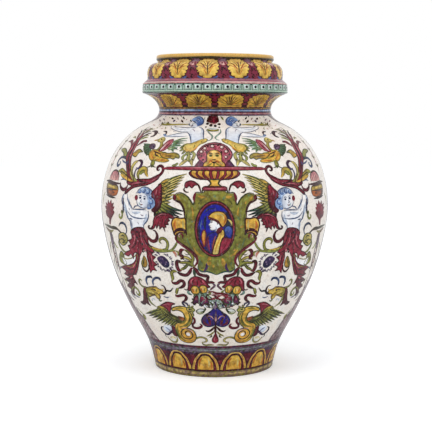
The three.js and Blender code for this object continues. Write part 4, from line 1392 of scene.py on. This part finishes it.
# %% The niche
def niche(s):
    """The crimson shell behind the mask, with its row of pale beads."""
    shell = both_sides("0 126.5 -11 -2.5 -10 -6 -6 -8 -3 -9 2 -7 3 -5 -3 -5 -4 -6 0 0 32 0")
    s.wash(shell, "pink", "rose", (0, -1), 1, "wine", 2)
    mottle(s, shell, 50, 7, 4.4, ["rose", "pink", "crimson", "pink", "shell", "pink"], 2)
    paint(s, """
    both wash purple>maroon 3 @-1,0: -32 78 0 0 18 0 -3 6 -7 6 -4 -6;
    3 wine 3: -24 92 -3 8 3 9 7 8 9 4 8 1 9 -1 9 -5 6 -8 2 -9""")
    for x, y, r in ((-22.5, 105, 2.7), (-17, 112, 2.7), (-4, 117, 3.2), (13, 115, 3.2), (20, 106, 2.7),
                    (19, 95, 2)):
        s.dot(x, y, r + 1.2, "wine", 4)
        s.dot(x - 0.3, y + 0.3, r, "shell", 5)
        s.dot(x - 0.6, y + 0.7, r * 0.5, "white", 6)
    paint(s, """
    dot 1.9 wine 4: -22 97 / -19 90 / -12 116 / 6 119 / -26 99 / 25 100 / 23 88""")
    for x, top in ((-16, 100), (-19, 95), (16, 100), (19, 95)):
        s.stroke([(x, top), (x * 0.98, 88), (x * 0.8, 80)], 1.8, "pink", 3)


add_motif(axis_marks, niche)


# %% The tassel
def tassel(s):
    """A maroon tassel hangs from the neck, over a small green lyre."""
    paint(s, """
    wash maroon>wine 2 @-1,.2 brown 1.7: -18 232 2 4 24 0 0 -8 2 -8 1 -10 -2 -7 -6 -3 -5 -3 -6 2 -8 3 -5
      2 -1 8 3 10; 7 brown 3: -18 228 -1 -12 1 -11; 5 brown: 8 230 1 -14 -1 -11;
    5 crimson: -3 226 0 -12 0 -13; 3 wine: -11 224 -1 -10 1 -10; 2.4 wine: 4 224 0 -10 -1 -10;
    5 brown: -18 229 12 2 14 -2; 4 shell>pink 2: -13 200 9 -7 10 6""")
    for x, y, r, squash in ((-18.5, 194, 4.4, 1.4), (-9.5, 186, 4, 1.8), (1.2, 183, 3.6, 1.7),
                            (11, 192, 4.4, 1.3), (-21, 177, 2.4, 1.2), (10.5, 176, 2.4, 1.2)):
        s.dot(x, y, r, "black", 3, squash, 14)
        s.dot(x - 1, y + 1.6, r * 0.3, "brown", 4)
    paint(s, """
    6 moss>leaf 3 t.5: 17 229 4 -6 2 -6 2 -5; 3 leaf>mist 2: -29 226 -1 -6 2 -7;
    4 sea>body: -15 172 11 -2 10 2;
    wash leaf>olive 3 @0,-1 moss 1: -17 168 5 -2 8 -1 8 1 4 2 0 -7 -8 -2 -8 0 -9 2;
    1.6 sea 4 brown+1.8: -17 166 3 -9 5 -7 4 -6 0 -6 -4 -6 -6 -1;
    1.6 sea 4 moss+1.8: 12 168 1 -10 -4 -8 -5 -6 -3 -5 3 -5 5 -2; 2 straw 4: -11 163 7 -2 9 2""")


add_motif(axis_marks, tassel)


# %% The mask
def mask(s):
    """A bearded mask in yellow, as carved on old fountains."""
    paint(s, """
    wash lemon>ochre 3 @0,-1 brown 1.6: -1 109 -7 -1.5 -4.5 -5.5 -.5 -7 0 -7 -4 -4 -1 -5 6 -2.5 5 1.5 6
      -2 7 2 5 -1.5 6 2.5 -1 5 -4 4 0 7 -1 7 -5 5.5""")
    folds = ((3, "orange", 5, (1.6, 88.4), (6, 87.6), (11, 84)),
             (2.6, "olive", 5, (3, 84), (7, 81), (12, 79.4)),
             (2, "straw", 6, (8, 87), (12, 84), (15, 81)),
             (2.4, "brown", 4, (11, 100), (13, 104), (11, 109)),
             (2, "orange", 5, (4, 106), (8, 104), (10, 99)))
    for side in (-1, 1):
        x = -1 + side * 5.4
        s.dot(x, 98, 3.6, "olive", 4, 0.7)
        s.stroke([(x - 4, 101), (x, 102.4), (x + 4, 100.6)], 2, "brown", 5)
        s.dot(x, 97.8, 2, "moss", 5, 0.75)
        for width, colour, layer, *line in folds:
            s.stroke([(-1 + side * across, y) for across, y in line], width, colour, layer)
    paint(s, """
    2.6 straw 5: -1 106 0 -8 0 -6; 1.4 ochre 6: -3 100 -.4 -6 -.6 -2.4; 1.8 brown: -4.6 91 3.6 -1 3.6 1;
    3 brown: -5.4 86.6 4.4 -1.6 4.4 1.6; 3 olive 5: -1 84 0 -6""")


add_motif(axis_marks, mask)


# %% The heart
def heart(s):
    """The purple heart at the foot of the panel, with a red drop under it."""
    paint(s, """
    whole wash purple>cobalt 2 @.5,.3 ink 2.4: 3.5 -156 -6.5 -5 -6 -7 -8 -5 -6 -8 -2.5 -9 3.5 -9 8 -5 9 1
      8.5 5; both 6 wine>brown 3 t.3: -9 -180 -2 -8 4 -7; both 6 purple: -17 -181 -2 -8 6 -7;
    both 4 maroon: -22 -186 3 -10 11 -5; both 4 wine: -5 -163 -7 -9 -6 -7;
    both 2.6 shell>brown 5 t.3: -1 -184 -4 6 -5 2 -4 -4 3 -5; both 4 cobalt 4 t.3: -13 -185 -1 -6 3 -5;
    both 4.6 maroon: -6 -187 -3 -6 3 -6; both 2.4 ink: -1 -170 -1 -10 2 -12;
    both 2.2 ink 5 t.3: -2 -186 -2 -7 2 -8; both 1.6 purple: -16 -176 -4 -8 0 -8;
    both 5.4 brown 4 t.3: 1 -203 -4 -7 -6 -6 -6 -1 -3 3; both 4 olive 2 t.3: 1 -216 -6 -8 -7 -5 -5 -3;
    both 3.6 moss: -7 -226 1 -6 -5 -3; 6 purple>brown 4: 3.5 -163 0 -13 0 -14 0 -9;
    3 mauve 5: 3.5 -170 0 -6; 4.4 brown>shell 6: 3.5 -176 0 -14;
    5.4 brown>wine 4 t.2: 3.5 -198 -.5 -12 .5 -14;
    wash maroon>crimson 5 @0,-1 wine: 3.5 -221 -3.5 -9 -4 -10 .4 -8 6.6 -4 6.4 4 .6 8 -3 10;
    2.4 pink 6: 3.5 -232 -2.5 -9 2 -5""")


add_motif(axis_marks, heart)


# %% The garland
def garland(s):
    """A ribbon and a thick swag of leaves and berries."""
    swag = points_of("-36 -132 8 6 13 1 7 -7 10 -7 12 1 10 8 10 4 10 -8"
                     " -2 -14 -9 -6 -13 -3 -16 -1 -15 2 -13 5 -10 9")
    s.wash(swag, "dove", "sea", (0, 1), 1, "moss", 1.6)
    mottle(s, swag, 130, 7, 3, ["sea", "leaf", "mauve", "sea", "body", "olive", "body", "green", "maroon"], 2)
    for _ in range(40):
        s.dot(s.random.uniform(-26, 34), s.random.uniform(-156, -139), s.random.uniform(1.4, 2.6),
              s.random.choice(["shell", "maroon", "body", "moss", "sea", "body"]), 3)
    paint(s, """
    4 maroon 5: -12 -124 8 2 8 -3 10 -1 10 -2 4 -4; 4 crimson: -9 -139 9 3 8 4 7 4;
    3.6 maroon: -7 -128 9 -3 6 -6 8 -2 7 5; 5.6 crimson: 15 -130 8 -2 -3 -5;
    2.4 pink: -4 -126 10 -3 10 -1; 2.4 wine: 2 -127 0 -6 4 -6; 3 wine: -10 -127 -4 -6 6 -6 6 0;
    3 purple: 4 -140 -1 -8 3 -8; 3 moss: -10 -143 6 -4 2 -7; 3.4 moss: 14 -140 4 -7 8 -3;
    3 teal: 28 -138 2 -8 -6 -7; 3 moss: -16 -147 6 -3 2 -6; both 3.6 moss 3: -18.5 -154 2 -6 -4 -6 -6 -2;
    both wash wine>purple 3 moss 1.4: -35 -137 6 2 1 -5 -4 -3 -2 -7 -4 2 -4 1 4 5 -2 4;
    both wash crimson>wine 3 sea 1.4: -24 -132 6 -1 2 -7 -4 -2 -3 -5 -3 4 -2 -1 2 6;
    both wash leaf>body 2 moss 1.6: -17.5 -162 -4 -8 -8 -2 -5 6 7 6; 4 mauve 4: 3 -152 -2 -5 3 -4""")


add_motif(axis_marks, garland)


# %% The medallion
def oval(a, b, count=64):
    """An ellipse about the middle of the medallion."""
    t = np.linspace(0, 2 * math.pi, count, endpoint=False)
    return np.stack([1 + a * np.cos(t), -17 + b * np.sin(t)], 1)


def ring_stroke(s, a, b, width, colour, layer):
    """An oval line."""
    line = oval(a, b)
    s.stroke(np.vstack([line, line[:1]]), width, colour, layer, taper=0, smooth=False)


def medallion(s):
    """An oval portrait in cobalt: a classical head in a cap, drawn to plain old proportions."""
    s.wash(oval(29.5, 42), "wine", "maroon", (-0.4, 1), 5, smooth=False)
    s.wash(oval(25.8, 38.2), "cobalt", "cobalt", (0.5, 0.6), 6, smooth=False)
    ring_stroke(s, 29.5, 42, 2.2, "brown", 7)
    ring_stroke(s, 27.8, 40.2, 1.2, "crimson", 8)
    ring_stroke(s, 25.6, 38, 2, "wine", 9)
    paint(s, """
    5 ink 7: 12 10 8 -6 3 -10; 4 ink: -12 4 -2 -12 1 -10; 2 ink: -16 6 8 7 10 1;
    3 ink: -22 -10 0 -14 4 -12; 2 blue: -18 -2 -2 -10 1 -6;
    wash yellow>orange 8 @0,-1 maroon 1.8: -18 -22 3 4.5 2.6 -4.5 -.6 -12 -1.6 -9 -2.4 4 -1.4 8;
    1.6 orange 10: -15.4 -23 .4 -8 -.6 -8;
    wash cobalt>purple 8 @-.6,-1 ink 1.6: -9 -25 7 4 6 0 1 -8 -3 -10 -3 -14.5 -5 .5 -4 4 -3 7 2 10;
    4 maroon>purple 9: -9 -27 -1.5 -11 2.5 -11; 2.6 cobalt 10: -4 -26 -2 -12 1 -12;
    2 orange>crimson: 2 -26 -3 -10 -2 -12; 1.8 crimson 11: -9 -32 1 -8 1 -10;
    wash yellow>straw 9 @-.3,-1 brown 1.7: 9 -16 5 -2 1 -8 -5 -10 -2 -10 -2 -8.5 -8.5 -.5 1.5 11 3 10 4
      10; 2.4 ochre 10: 11 -20 -3 -11 -5 -13 -1 -8;
    wash rose>crimson 9 wine 1.4: 13 -29 7 0 5.5 -2 -2 -9 -6 -8.5 -9.5 -6.5 0 9 2 10;
    1.4 maroon 10: 20 -33 -3 -8 -6 -9;
    wash blue>cobalt 10 @.4,-1 ink 1.6: 15 -15 6 4 5 -4 .5 -9 -3.5 -6 -6.5 5;
    wash moss>ink 9: 16.5 -3 5.5 1 4 -6 -2 -6 -6.5 1.5; 2.6 straw 10: 19 -1 5 -4 2 -6;
    wash white>body 10 @1,-.4 slate 1.1: -5 0 -.8 -3 -.2 -3 -2.4 -3.6 .4 -1 1.6 -.4 -.4 -1.6 .8 -1 -.6
      -1.2 1 -2.2 3 -1 3.6 .6 2 -2.6 5 0 1 6 0 8 -4 6; 1.2 ink 12: -5.4 -5.6 1.8 .6 1.6 -.8;
    1.1 brown: -5.4 -3.8 2 .8 2.2 -.6; dot .7 ink: -4.2 -6.3; 1.2 crimson: -6.2 -13.6 2 .2;
    1.1 brown: 3.4 -6.5 1.4 -1.5 -1 -2.2; 1.8 mist>mauve 11: 2 -12 1 -3.6 -3 -1.8;
    wash yellow>ochre 12 @1,-.4 brown 1.6: -8 -1 .6 5 6.4 5 8 1 7.5 -2.6 4.1 -7.4 -1.2 -7 -4.9 -5.8 -3.5
      3.8 -3 4.5 -6 2.1; 3.6 maroon>brown 14: -10 3 6 -3.6 6 -2.4 5 -4 3 -6.5;
    2.6 straw 13: -2 4.6 7 2 7 -3 2.4 -6.6; 2 orange: 15 4 1 -6 -2.5 -7;
    wash wine>maroon 12: 3 -18 5 5 4.5 -1.6 -2.9 -7 -5.6 -1.4""")


add_motif(axis_marks, medallion)
print("marks on the axis:", len(axis_marks.points))


# %% [markdown]
# ## Laying the panel on the pot
# The front panel is the half, the half turned over, and the marks on the axis. The back of such a
# pot repeats the front, so the same sheet is laid a second time, half a turn round.

# %% Lay the front and the back
panel = Sheet()
panel.take(half)
panel.take(half, mirror=True)
panel.take(axis_marks)


def quarter_turns(place, turns):
    """A placing function that starts some quarter turns further round."""
    def turned(points, lift):
        return place(points + (turns * math.pi / 2 * BELLY_R, 0), lift)
    return turned


paintings = []
for name, turns in (("front_grotesques", 0), ("back_grotesques", 2)):
    painting = panel.lay(name, quarter_turns(body_sheet, turns))
    paintings.append((painting, "body_glaze"))
    print(name, len(painting.data.polygons), "faces")

# %% [markdown]
# ## Bands and marbled sides
# Plain lines and bands run round the pot on a banding wheel, so their edges are nearly true, with
# a small waver of the hand. The two sides between the panels are marbled in maroon and purple, as
# stone veneers were painted. A grid of faces carries these fields, and the marbling is a material
# of its own: noise that bends other noise, as a feather drags wet pigment.

# %% Fields of colour
def waver(angle, seed, size=0.5):
    """A small periodic unevenness round the pot."""
    draw = random.Random(seed)
    return sum(size / k * math.sin(k * 3 * angle + draw.uniform(0, 6)) for k in (1, 2, 3, 5))


def blotches(u, v, seed, scale):
    """Smooth uneven values from 0 to 1 for points round the pot."""
    angle = u / BELLY_R
    places = np.stack([BELLY_R * np.sin(angle), BELLY_R * np.cos(angle), v + 100 * seed], 1) / scale
    return np.clip([0.5 + noise.noise(Vector(p)) + 0.5 * noise.noise(Vector(p * 2.7)) for p in places], 0, 1)


def grid_faces(rows, columns, closed=False):
    """Faces between the points of a grid, which come row after row from the bottom up."""
    return [[r * columns + i, r * columns + (i + 1) % columns, (r + 1) * columns + (i + 1) % columns,
             (r + 1) * columns + i]
            for r in range(rows - 1) for i in range(columns if closed else columns - 1)]


def field(sheet, low, high, first, second, seed, layer, scale):
    """A wavering band all round between two heights, mottled from one colour to a second."""
    columns, rows = 360, max(2, round((high - low) / GRAIN))
    angle = np.linspace(-math.pi, math.pi, columns, endpoint=False)
    u = angle * BELLY_R
    share = np.linspace(0, 1, rows + 1)[:, None]
    sway = np.array([[waver(a, seed + end, min(0.5, (high - low) / 8)) for a in angle] for end in (0, 1)])
    v = low + (high - low) * share + sway[0] * (1 - share) ** 2 + sway[1] * share**2
    points = np.stack([np.tile(u, rows + 1), v.ravel()], 1)
    colour = mix(first, second, blotches(points[:, 0], points[:, 1], seed, scale))
    colour[:columns] *= 0.8
    colour[-columns:] *= 0.8
    sheet.add(points, colour, grid_faces(rows + 1, columns, closed=True), LAYER_STEP * layer)


# %% The bands of the body and the mouth
def lay_bands(sheet, table, seed):
    """Lays the bands of a table: low, high, two pigments, the size of their blotches and the layer."""
    for low, high, first, second, scale, layer in table:
        field(sheet, low, high, first, second, seed, layer, scale)
        seed += 1
    print("bands:", len(table), "of", sheet.count, "points")


# In the bands at the foot of the neck, the pink band from 236.6 to 239 across the maroon is a painted
# highlight.
BANDS = ((230.6, 233.4, "black", "mauve", 6, 3), (232.8, 243.4, "maroon", "mauve", 7, 2),
         (236.6, 239, "pink", "shell", 9, 4), (242.6, 244.4, "black", "wine", 6, 4),
         (244.2, 251.6, "slate", "mauve", 9, 1), (245.4, 250, "sky", "mist", 12, 3),
         (251.2, 253.4, "ink", "purple", 6, 3),
         (-268.5, -262, "ink", "maroon", 6, 2), (-286.5, -267.5, "mauve", "moss", 6, 1),
         (-277, -274.4, "sea", "mauve", 7, 3), (-291.5, -284.5, "wine", "purple", 7, 2),
         (-339.8, -290, "maroon", "wine", 16, 1), (-343, -337.5, "brown", "wine", 8, 3),
         (-361, -342, "olive", "umber", 9, 1), (-353.5, -346, "straw", "umber", 8, 2))
bands = Sheet(8)
lay_bands(bands, BANDS, 11)

# The dark brown band just under the mouth band (-5 to 0.2) is painted shadow under the band, and the brown
# band from 66.5 to 70.5 is painted shade round the groove under the lip.
MOUTH_BANDS = ((-5, 0.2, "brown", "wine", 6, 2), (0.4, 2.6, "black", "teal", 4, 3),
               (12.2, 14.6, "teal", "black", 5, 2), (14.8, 16.8, "shell", "pink", 6, 2),
               (19.4, 21, "crimson", "purple", 6, 2), (66.5, 70.5, "brown", "moss", 6, 2))
mouth_bands = Sheet(10)
lay_bands(mouth_bands, MOUTH_BANDS, 41)
paintings.append((mouth_bands.lay("mouth_bands", ring_sheet(BELLY_R, NECK_TOP)), "collar_glaze"))


# %% Marbling
def marbling(name, low, middle, high):
    """Veins of three colours, drawn out and bent by coarse noise."""
    material, tree, shader = new_material(name)
    where = add_node(tree, "ShaderNodeTexCoord")
    bend_noise = add_node(tree, "ShaderNodeTexNoise", {"Scale": 16, "Detail": 3})
    push = add_node(tree, "ShaderNodeVectorMath", {1: (0.09, 0.09, 0.09)}, operation="MULTIPLY_ADD")
    veins = add_node(tree, "ShaderNodeTexNoise", {"Scale": 38, "Detail": 5, "Roughness": 0.62})
    ramp = add_node(tree, "ShaderNodeValToRGB")
    stops = ((0.32, low), (0.42, middle), (0.48, high), (0.53, low), (0.6, middle), (0.66, high))
    while len(ramp.color_ramp.elements) < len(stops):
        ramp.color_ramp.elements.new(0.5)
    for element, (at, colour) in zip(ramp.color_ramp.elements, stops):
        element.position = at
        element.color = (*COLOUR[colour], 1)
    wire(tree, (where, "Object", bend_noise, "Vector"), (bend_noise, "Color", push, 0),
         (where, "Object", push, 2), (push, 0, veins, "Vector"), (veins, "Fac", ramp, "Fac"),
         (ramp, "Color", shader, "Base Color"))
    orange_peel(tree, shader)
    return material


MARBLE = marbling("marbled_pigment", "wine", "umber", "dove")
SIDE_LOW, SIDE_TOP = -262, 231
EDGE_HEIGHTS = (SIDE_LOW, -235, -200, -185, -150, -110, 0, 60, 150, 200, SIDE_TOP)
EDGE_DEGREES = (51, 55, 58, 64, 67, 75, 81, 85, 85, 76, 66)
SIDE_COLUMNS = 27
sides = Sheet(9)
for turns in (1, 3):
    heights = np.arange(SIDE_LOW, SIDE_TOP + 0.1, 3)
    reach = math.radians(90) * BELLY_R - np.interp(heights, EDGE_HEIGHTS, np.radians(EDGE_DEGREES) * BELLY_R)
    reach += np.array([waver(height / 60, 31 + turns, 2.2) for height in heights])
    across = np.linspace(-1, 1, SIDE_COLUMNS)
    middle = turns * math.pi / 2 * BELLY_R
    points = np.stack([(middle + reach[:, None] * across).ravel(), np.repeat(heights, SIDE_COLUMNS)], 1)
    sides.add(points, np.tile(COLOUR["maroon"], (len(points), 1)), grid_faces(len(heights), SIDE_COLUMNS),
              LAYER_STEP)
    for side in (-1, 1):
        line = np.stack([middle + side * reach, heights], 1)
        bands.stroke(line, 2.6, "wine", 3, taper=0, smooth=False)
        bands.stroke(line + (side * 3.4, 0), 1.2, "mauve", 2, taper=0, smooth=False)
marbled = sides.lay("side_marbling", body_sheet)
marbled.data.materials[0] = MARBLE
paintings += [(marbled, "body_glaze"), (bands.lay("painted_bands", body_sheet), "body_glaze")]

# %% [markdown]
# ## Rings of repeated ornament
# Eggs, leaves and squares go round the mouldings. The painter stepped them off with dividers, so
# they are even. Each is drawn once, facing front, and a Geometry Nodes tree sets the copies: one
# point per copy, each instance turned by its share of the circle.

# %% A tree that sets copies round the axis
def ring_of_copies_tree():
    """Copies the incoming mesh round the Z axis."""
    tree, given, out = new_tree("ring_of_copies", [
        ("Mark", "NodeSocketGeometry"), ("Count", "NodeSocketInt"), ("Start angle", "NodeSocketFloat"),
        ("Pigment", "NodeSocketMaterial")])
    points = add_node(tree, "GeometryNodePoints")
    number = add_node(tree, "GeometryNodeInputIndex")
    share = add_node(tree, "ShaderNodeMath", operation="DIVIDE")
    angle = add_node(tree, "ShaderNodeMath", {1: 2 * math.pi}, operation="MULTIPLY_ADD")
    turn_about_z = add_node(tree, "ShaderNodeCombineXYZ")
    copies = add_node(tree, "GeometryNodeInstanceOnPoints")
    real = add_node(tree, "GeometryNodeRealizeInstances")
    painted = add_node(tree, "GeometryNodeSetMaterial")
    wire(tree, (given, "Count", points, "Count"), (number, "Index", share, 0), (given, "Count", share, 1),
         (share, 0, angle, 0), (given, "Start angle", angle, 2), (angle, 0, turn_about_z, "Z"),
         (points, 0, copies, "Points"), (given, "Mark", copies, "Instance"),
         (turn_about_z, "Vector", copies, "Rotation"), (copies, "Instances", real, "Geometry"),
         (real, "Geometry", painted, "Geometry"), (given, "Pigment", painted, "Material"),
         (painted, "Geometry", out, "Result"))
    return tree


RING_OF_COPIES = ring_of_copies_tree()


def set_round(sheet, name, place, count, start_degrees, slot):
    """Lays a mark on the front and sets its copies round the pot."""
    ring = run_tree(RING_OF_COPIES, sheet.lay(name + "_one", place), name, **{
        "Count": count, "Start angle": math.radians(start_degrees), "Pigment": PIGMENT})
    paintings.append((ring, slot))
    print(name, count, "copies,", len(ring.data.polygons), "faces")


# %% Eggs round the foot
EGGS = 14
FOOT_DEGREE = math.radians(1) * FOOT_R


def dome(half_width, low, high, full=0.68):
    """Half an egg's outline, from the axis at the top down to the bottom edge, in degrees round the foot."""
    w = half_width * FOOT_DEGREE
    return [(0, high), (w * 0.5 * full, high - 1.5), (w * 0.82 * full, high - 6.5),
            (w * (0.45 + 0.5 * full), (low + high) / 2 + 2), (w * 0.97, low + 6), (w, low), (w, low)]


def whole(right):
    """A closed outline from its right half."""
    right = points_of(right)
    return np.vstack([right, (right[:0:-1] * (-1, 1))])


def around(path, degree):
    """A path whose numbers across are degrees round the pot."""
    return points_of(path) * (degree, 1)


egg = Sheet(20)
egg.wash(whole(dome(12.9, 11.5, 44)), "brown", "wine", (0, -1), 2)
egg.wash(whole(dome(12.4, 11.5, 43)), "yellow", "lemon", (0, 1), 3)
for side in (-1, 1):
    egg.stroke(around("1.4 42 3.4 -4 3.6 -8.2 2.1 -9.2 .6 -7.4", FOOT_DEGREE) * (side, 1), 1.2, "ochre", 4,
               "orange")
egg.wash(whole(dome(10.2, 11.5, 41)), "maroon", "wine", (0, 1), 4)
egg.wash(whole(dome(7.6, 12.4, 38, 0.84)), "yellow", "ochre", (0.4, -1), 5, "wine", 1.2)
paint(egg, """
3 orange 6: -4 34 -4.4 -7 -.6 -9; 2.6 straw: 3 33 2.4 -7 -.4 -9; 2 yellow: -1 36 -2 -8 1 -10;
2.4 orange: 8 27 1.6 -7 -.6 -6; 2 ochre: 0 24 1 -4 -1 -4""")
set_round(egg, "foot_eggs", ring_sheet(FOOT_R, 0), EGGS, -7.5, "body_glaze")

# %% Leaves on the collar
COLLAR_LEAVES = 14
COLLAR_DEGREE = math.radians(1) * COLLAR_R
leaf = Sheet(21)
leaf_edge = whole(around("0 8 2.6 .2 1.6 1.4 -.4 1.4 2.2 .4 1.2 2 -.6 1.6 1.4 .6 .6 2.4 -1 1.4 1.4 1 .6 3"
                         " -1.2 2 1 1.6 .2 3.4 -1.2 2 .8 2.6 -1 3.4 .8 3.6 -.8 4 -2.2 .4 -1.6 3"
                         " -2.4 -1.4 -2 2", COLLAR_DEGREE))
leaf.wash(leaf_edge, "lemon", "yellow", (0, -1), 2, "brown", 1.2)
leaf.stroke("0 13 0 13 0 14", 1.7, "brown", 4)
for side in (-1, 1):
    degree = side * COLLAR_DEGREE
    for x, top, y0, colour in ((3, 20, 13, "orange"), (5, 30, 18, "orange"), (7.4, 36, 21, "brown"),
                               (8, 28, 22, "orange"), (5.2, 42, 25, "brown"), (2.6, 45, 30, "orange"),
                               (4.4, 25, 15, "ochre"), (8.4, 33, 26, "orange")):
        leaf.stroke([(0.4 * degree, y0), (x * 0.6 * degree, (y0 + top) / 2 + 1), (x * degree, top)],
                    1, colour, 4)
mottle(leaf, around("7 8 11.6 0 0 26 -7.6 0 -1 -8 -2.4 -10", COLLAR_DEGREE), 34, 5, 3,
       ["wine", "brown", "wine", "crimson", "black"], 1)
leaf.wash(around("9.6 31 3.2 -3 3.4 3 .4 9 -.2 11 -3.6 1 -3.4 -1 -.2 -11", COLLAR_DEGREE),
          "mauve", "shell", (0, -1), 1)
mottle(leaf, around("9 26 7.8 0 0 24 -7.8 0", COLLAR_DEGREE), 26, 5, 3.4,
       ["crimson", "pink", "mauve", "maroon"], 1)
# The pink band along the foot of the collar is a painted highlight on its lower shoulder.
leaf.stroke(around("-12.8 6.4 12.8 .6 12.8 -.6", COLLAR_DEGREE), 2.6, "pink", 1, "mauve", 0)
for side in (-1, 1):
    leaf.stroke(around("3.6 8 2.8 1 2 2.6", COLLAR_DEGREE) * (side, 1), 3.2, "slate", 1, "blue", 0.4)
set_round(leaf, "collar_leaves", ring_sheet(COLLAR_R, BAND_TOP), COLLAR_LEAVES, -6, "collar_glaze")

# %% Leaves on the neck
NECK_LEAVES = 12
NECK_DEGREE = math.radians(1) * NECK_R
neck_leaf = Sheet(22)
neck_edge = whole(around("0 7.6 4 -1 4 .6 3 -.8 1.6 2.6 -.8 3.6 1.4 3.4 -1.2 3 .8 4.4 -2.2 2.2"
                         " .2 4.4 -2.8 1 -1.2 4 -3.2 -.6 -3.6 2.6", NECK_DEGREE))
neck_leaf.stroke(around("-15 5.2 15 -.6 15 .6", NECK_DEGREE), 2.6, "olive", 1, "ochre", 0)
neck_leaf.wash(neck_edge, "yellow", "ochre", (0, -1), 2, "brown", 1.5)
neck_leaf.stroke("0 10 0 12 0 11", 1.7, "brown", 4)
for side in (-1, 1):
    degree = side * NECK_DEGREE
    for x, top, colour in ((3.2, 32, "brown"), (6.4, 29, "olive"), (9.4, 24, "brown"), (10.6, 17, "olive"),
                           (10, 11, "olive"), (4.6, 21, "orange"), (7, 15, "orange")):
        neck_leaf.stroke([(0.5 * degree, 10), (x * 0.55 * degree, 10 + (top - 10) * 0.55), (x * degree, top)],
                         1.2, colour, 4)
    for x, y, r, colour in ((14, 9, 2.6, "wine"), (14.4, 16, 1.6, "brown"), (14, 24, 1.8, "crimson"),
                            (13, 31, 2.4, "wine"), (12, 35, 2, "purple")):
        neck_leaf.dot(x * degree, y, r, colour, 1)
set_round(neck_leaf, "neck_leaves", ring_sheet(NECK_R, SHOULDER_TOP), NECK_LEAVES, -15.2, "neck_glaze")

# %% Squares on the band
SQUARES = 48
middle_s = BAND_ROUND + (BAND_TOP - NECK_TOP) / 2


def box(half_width, half_height):
    """The outline of an upright box with sharp corners, in the middle of the band."""
    return [(x * half_width, middle_s + y * half_height) for x, y in ((-1, -1), (1, -1), (1, 1), (-1, 1))
            for _ in (0, 1)]


square = Sheet(23)
square.wash(box(6.8, 5), "teal", "black", layer=2, smooth=False)
square.wash(box(6, 4.5), "celadon", "sea", (1, 1), 3, smooth=False)
square.wash(box(3.8, 2.8), "body", "celadon", (1, -1), 4, smooth=False)
square.dot(0, middle_s, 2.2, "black", 5, 1, 12)
set_round(square, "band_squares", ring_sheet(BAND_R, NECK_TOP), SQUARES, 2, "band_glaze")

# %% Tie the painting to the pot
for painting, slot in paintings:
    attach(painting, "root")
print("painted pieces:", [p.name for p, _ in paintings])

# %% [markdown]
# ## The floor, the light and the camera
# The pot stands on a plain pale floor in soft light from high up at the front, a little more of it
# from the left. The floor and the world are seen as white by the camera and in the gloss of the
# glaze, while the light that they give stays level. The camera has a long lens. It stands as
# high as the top of the neck, so the mouth isn't seen, and looks a little down to the belly.

# %% Floor and world
FLOOR_HALF = 6
FLOOR_COLOUR = (0.945, 0.966, 0.984, 1)
FLOOR_GLOW = 0.222
WORLD_LIGHT = 0.8
WHITE = (1, 1, 1, 1)


def backdrop_material():
    """A pale floor that is white to the camera except where the pot shades it."""
    material, tree, shader = new_material("studio_floor", **{
        "Base Color": FLOOR_COLOUR, "Roughness": 0.9, "Specular IOR Level": 0.16, "Coat Weight": 0})
    rays = add_node(tree, "ShaderNodeLightPath")
    glow = add_node(tree, "ShaderNodeEmission", {"Color": WHITE})
    seen = add_node(tree, "ShaderNodeMath", {1: FLOOR_GLOW}, operation="MULTIPLY")
    both = add_node(tree, "ShaderNodeAddShader")
    wire(tree, (rays, "Is Camera Ray", seen, 0), (seen, 0, glow, "Strength"), (shader, 0, both, 0),
         (glow, 0, both, 1), (both, 0, tree.nodes["Material Output"], "Surface"))
    return material


floor_mesh = bpy.data.meshes.new("floor")
corners = ((-1, -1), (1, -1), (1, 1), (-1, 1))
floor_mesh.from_pydata([(x * FLOOR_HALF, y * FLOOR_HALF, 0) for x, y in corners], [], [(0, 1, 2, 3)])
floor_mesh.materials.append(backdrop_material())
put_in_scene("floor", floor_mesh)

world = bpy.data.worlds.new("studio")
world.use_nodes = True
sky = world.node_tree
background = sky.nodes["Background"]
background.inputs["Color"].default_value = WHITE
rays = add_node(sky, "ShaderNodeLightPath")
glossy_too, glass_too = (add_node(sky, "ShaderNodeMath", operation="MAXIMUM") for _ in range(2))
level = add_node(sky, "ShaderNodeMapRange", {"To Min": WORLD_LIGHT, "To Max": 1})
wire(sky, (rays, "Is Camera Ray", glossy_too, 0), (rays, "Is Glossy Ray", glossy_too, 1),
     (glossy_too, 0, glass_too, 0), (rays, "Is Transmission Ray", glass_too, 1),
     (glass_too, 0, level, "Value"), (level, "Result", background, "Strength"))
bpy.context.scene.world = world


# %% Lamps
def soft_lamp(name, place, watts, size):
    """A square area lamp that faces the belly."""
    light = bpy.data.lights.new(name, "AREA")
    light.energy = watts
    light.size = size
    lamp = put_in_scene(name, light)
    lamp.location = place
    aim = Vector((0, 0, BELLY_Z * MM)) - Vector(place)
    lamp.rotation_euler = aim.to_track_quat("-Z", "Y").to_euler()


soft_lamp("key_lamp", (-0.9, -1.4, 2.6), 19, 1.4)
soft_lamp("fill_lamp", (1.3, -1.4, 2.3), 11, 1.6)
soft_lamp("back_lamp", (0.2, 1.9, 1.9), 5, 1.6)

# %% Camera
FOCAL_PIXELS = 1100
FRAME_PIXELS = 432
CAMERA_PLACE = (0.0024, -1.77187, 0.42463)
CAMERA_TILT = 84.135
CAMERA_ROLL = 0.225
camera_data = bpy.data.cameras.new("camera")
camera_data.sensor_width = 36
camera_data.lens = FOCAL_PIXELS / FRAME_PIXELS * camera_data.sensor_width
camera = put_in_scene("camera", camera_data)
tilt = Matrix.Rotation(math.radians(CAMERA_TILT), 4, "X")
roll = Matrix.Rotation(math.radians(CAMERA_ROLL), 4, "Z")
camera.matrix_world = Matrix.Translation(CAMERA_PLACE) @ tilt @ roll
bpy.context.scene.camera = camera
bpy.context.scene.view_settings.view_transform = "Standard"
print("lens, mm:", round(camera_data.lens, 1))
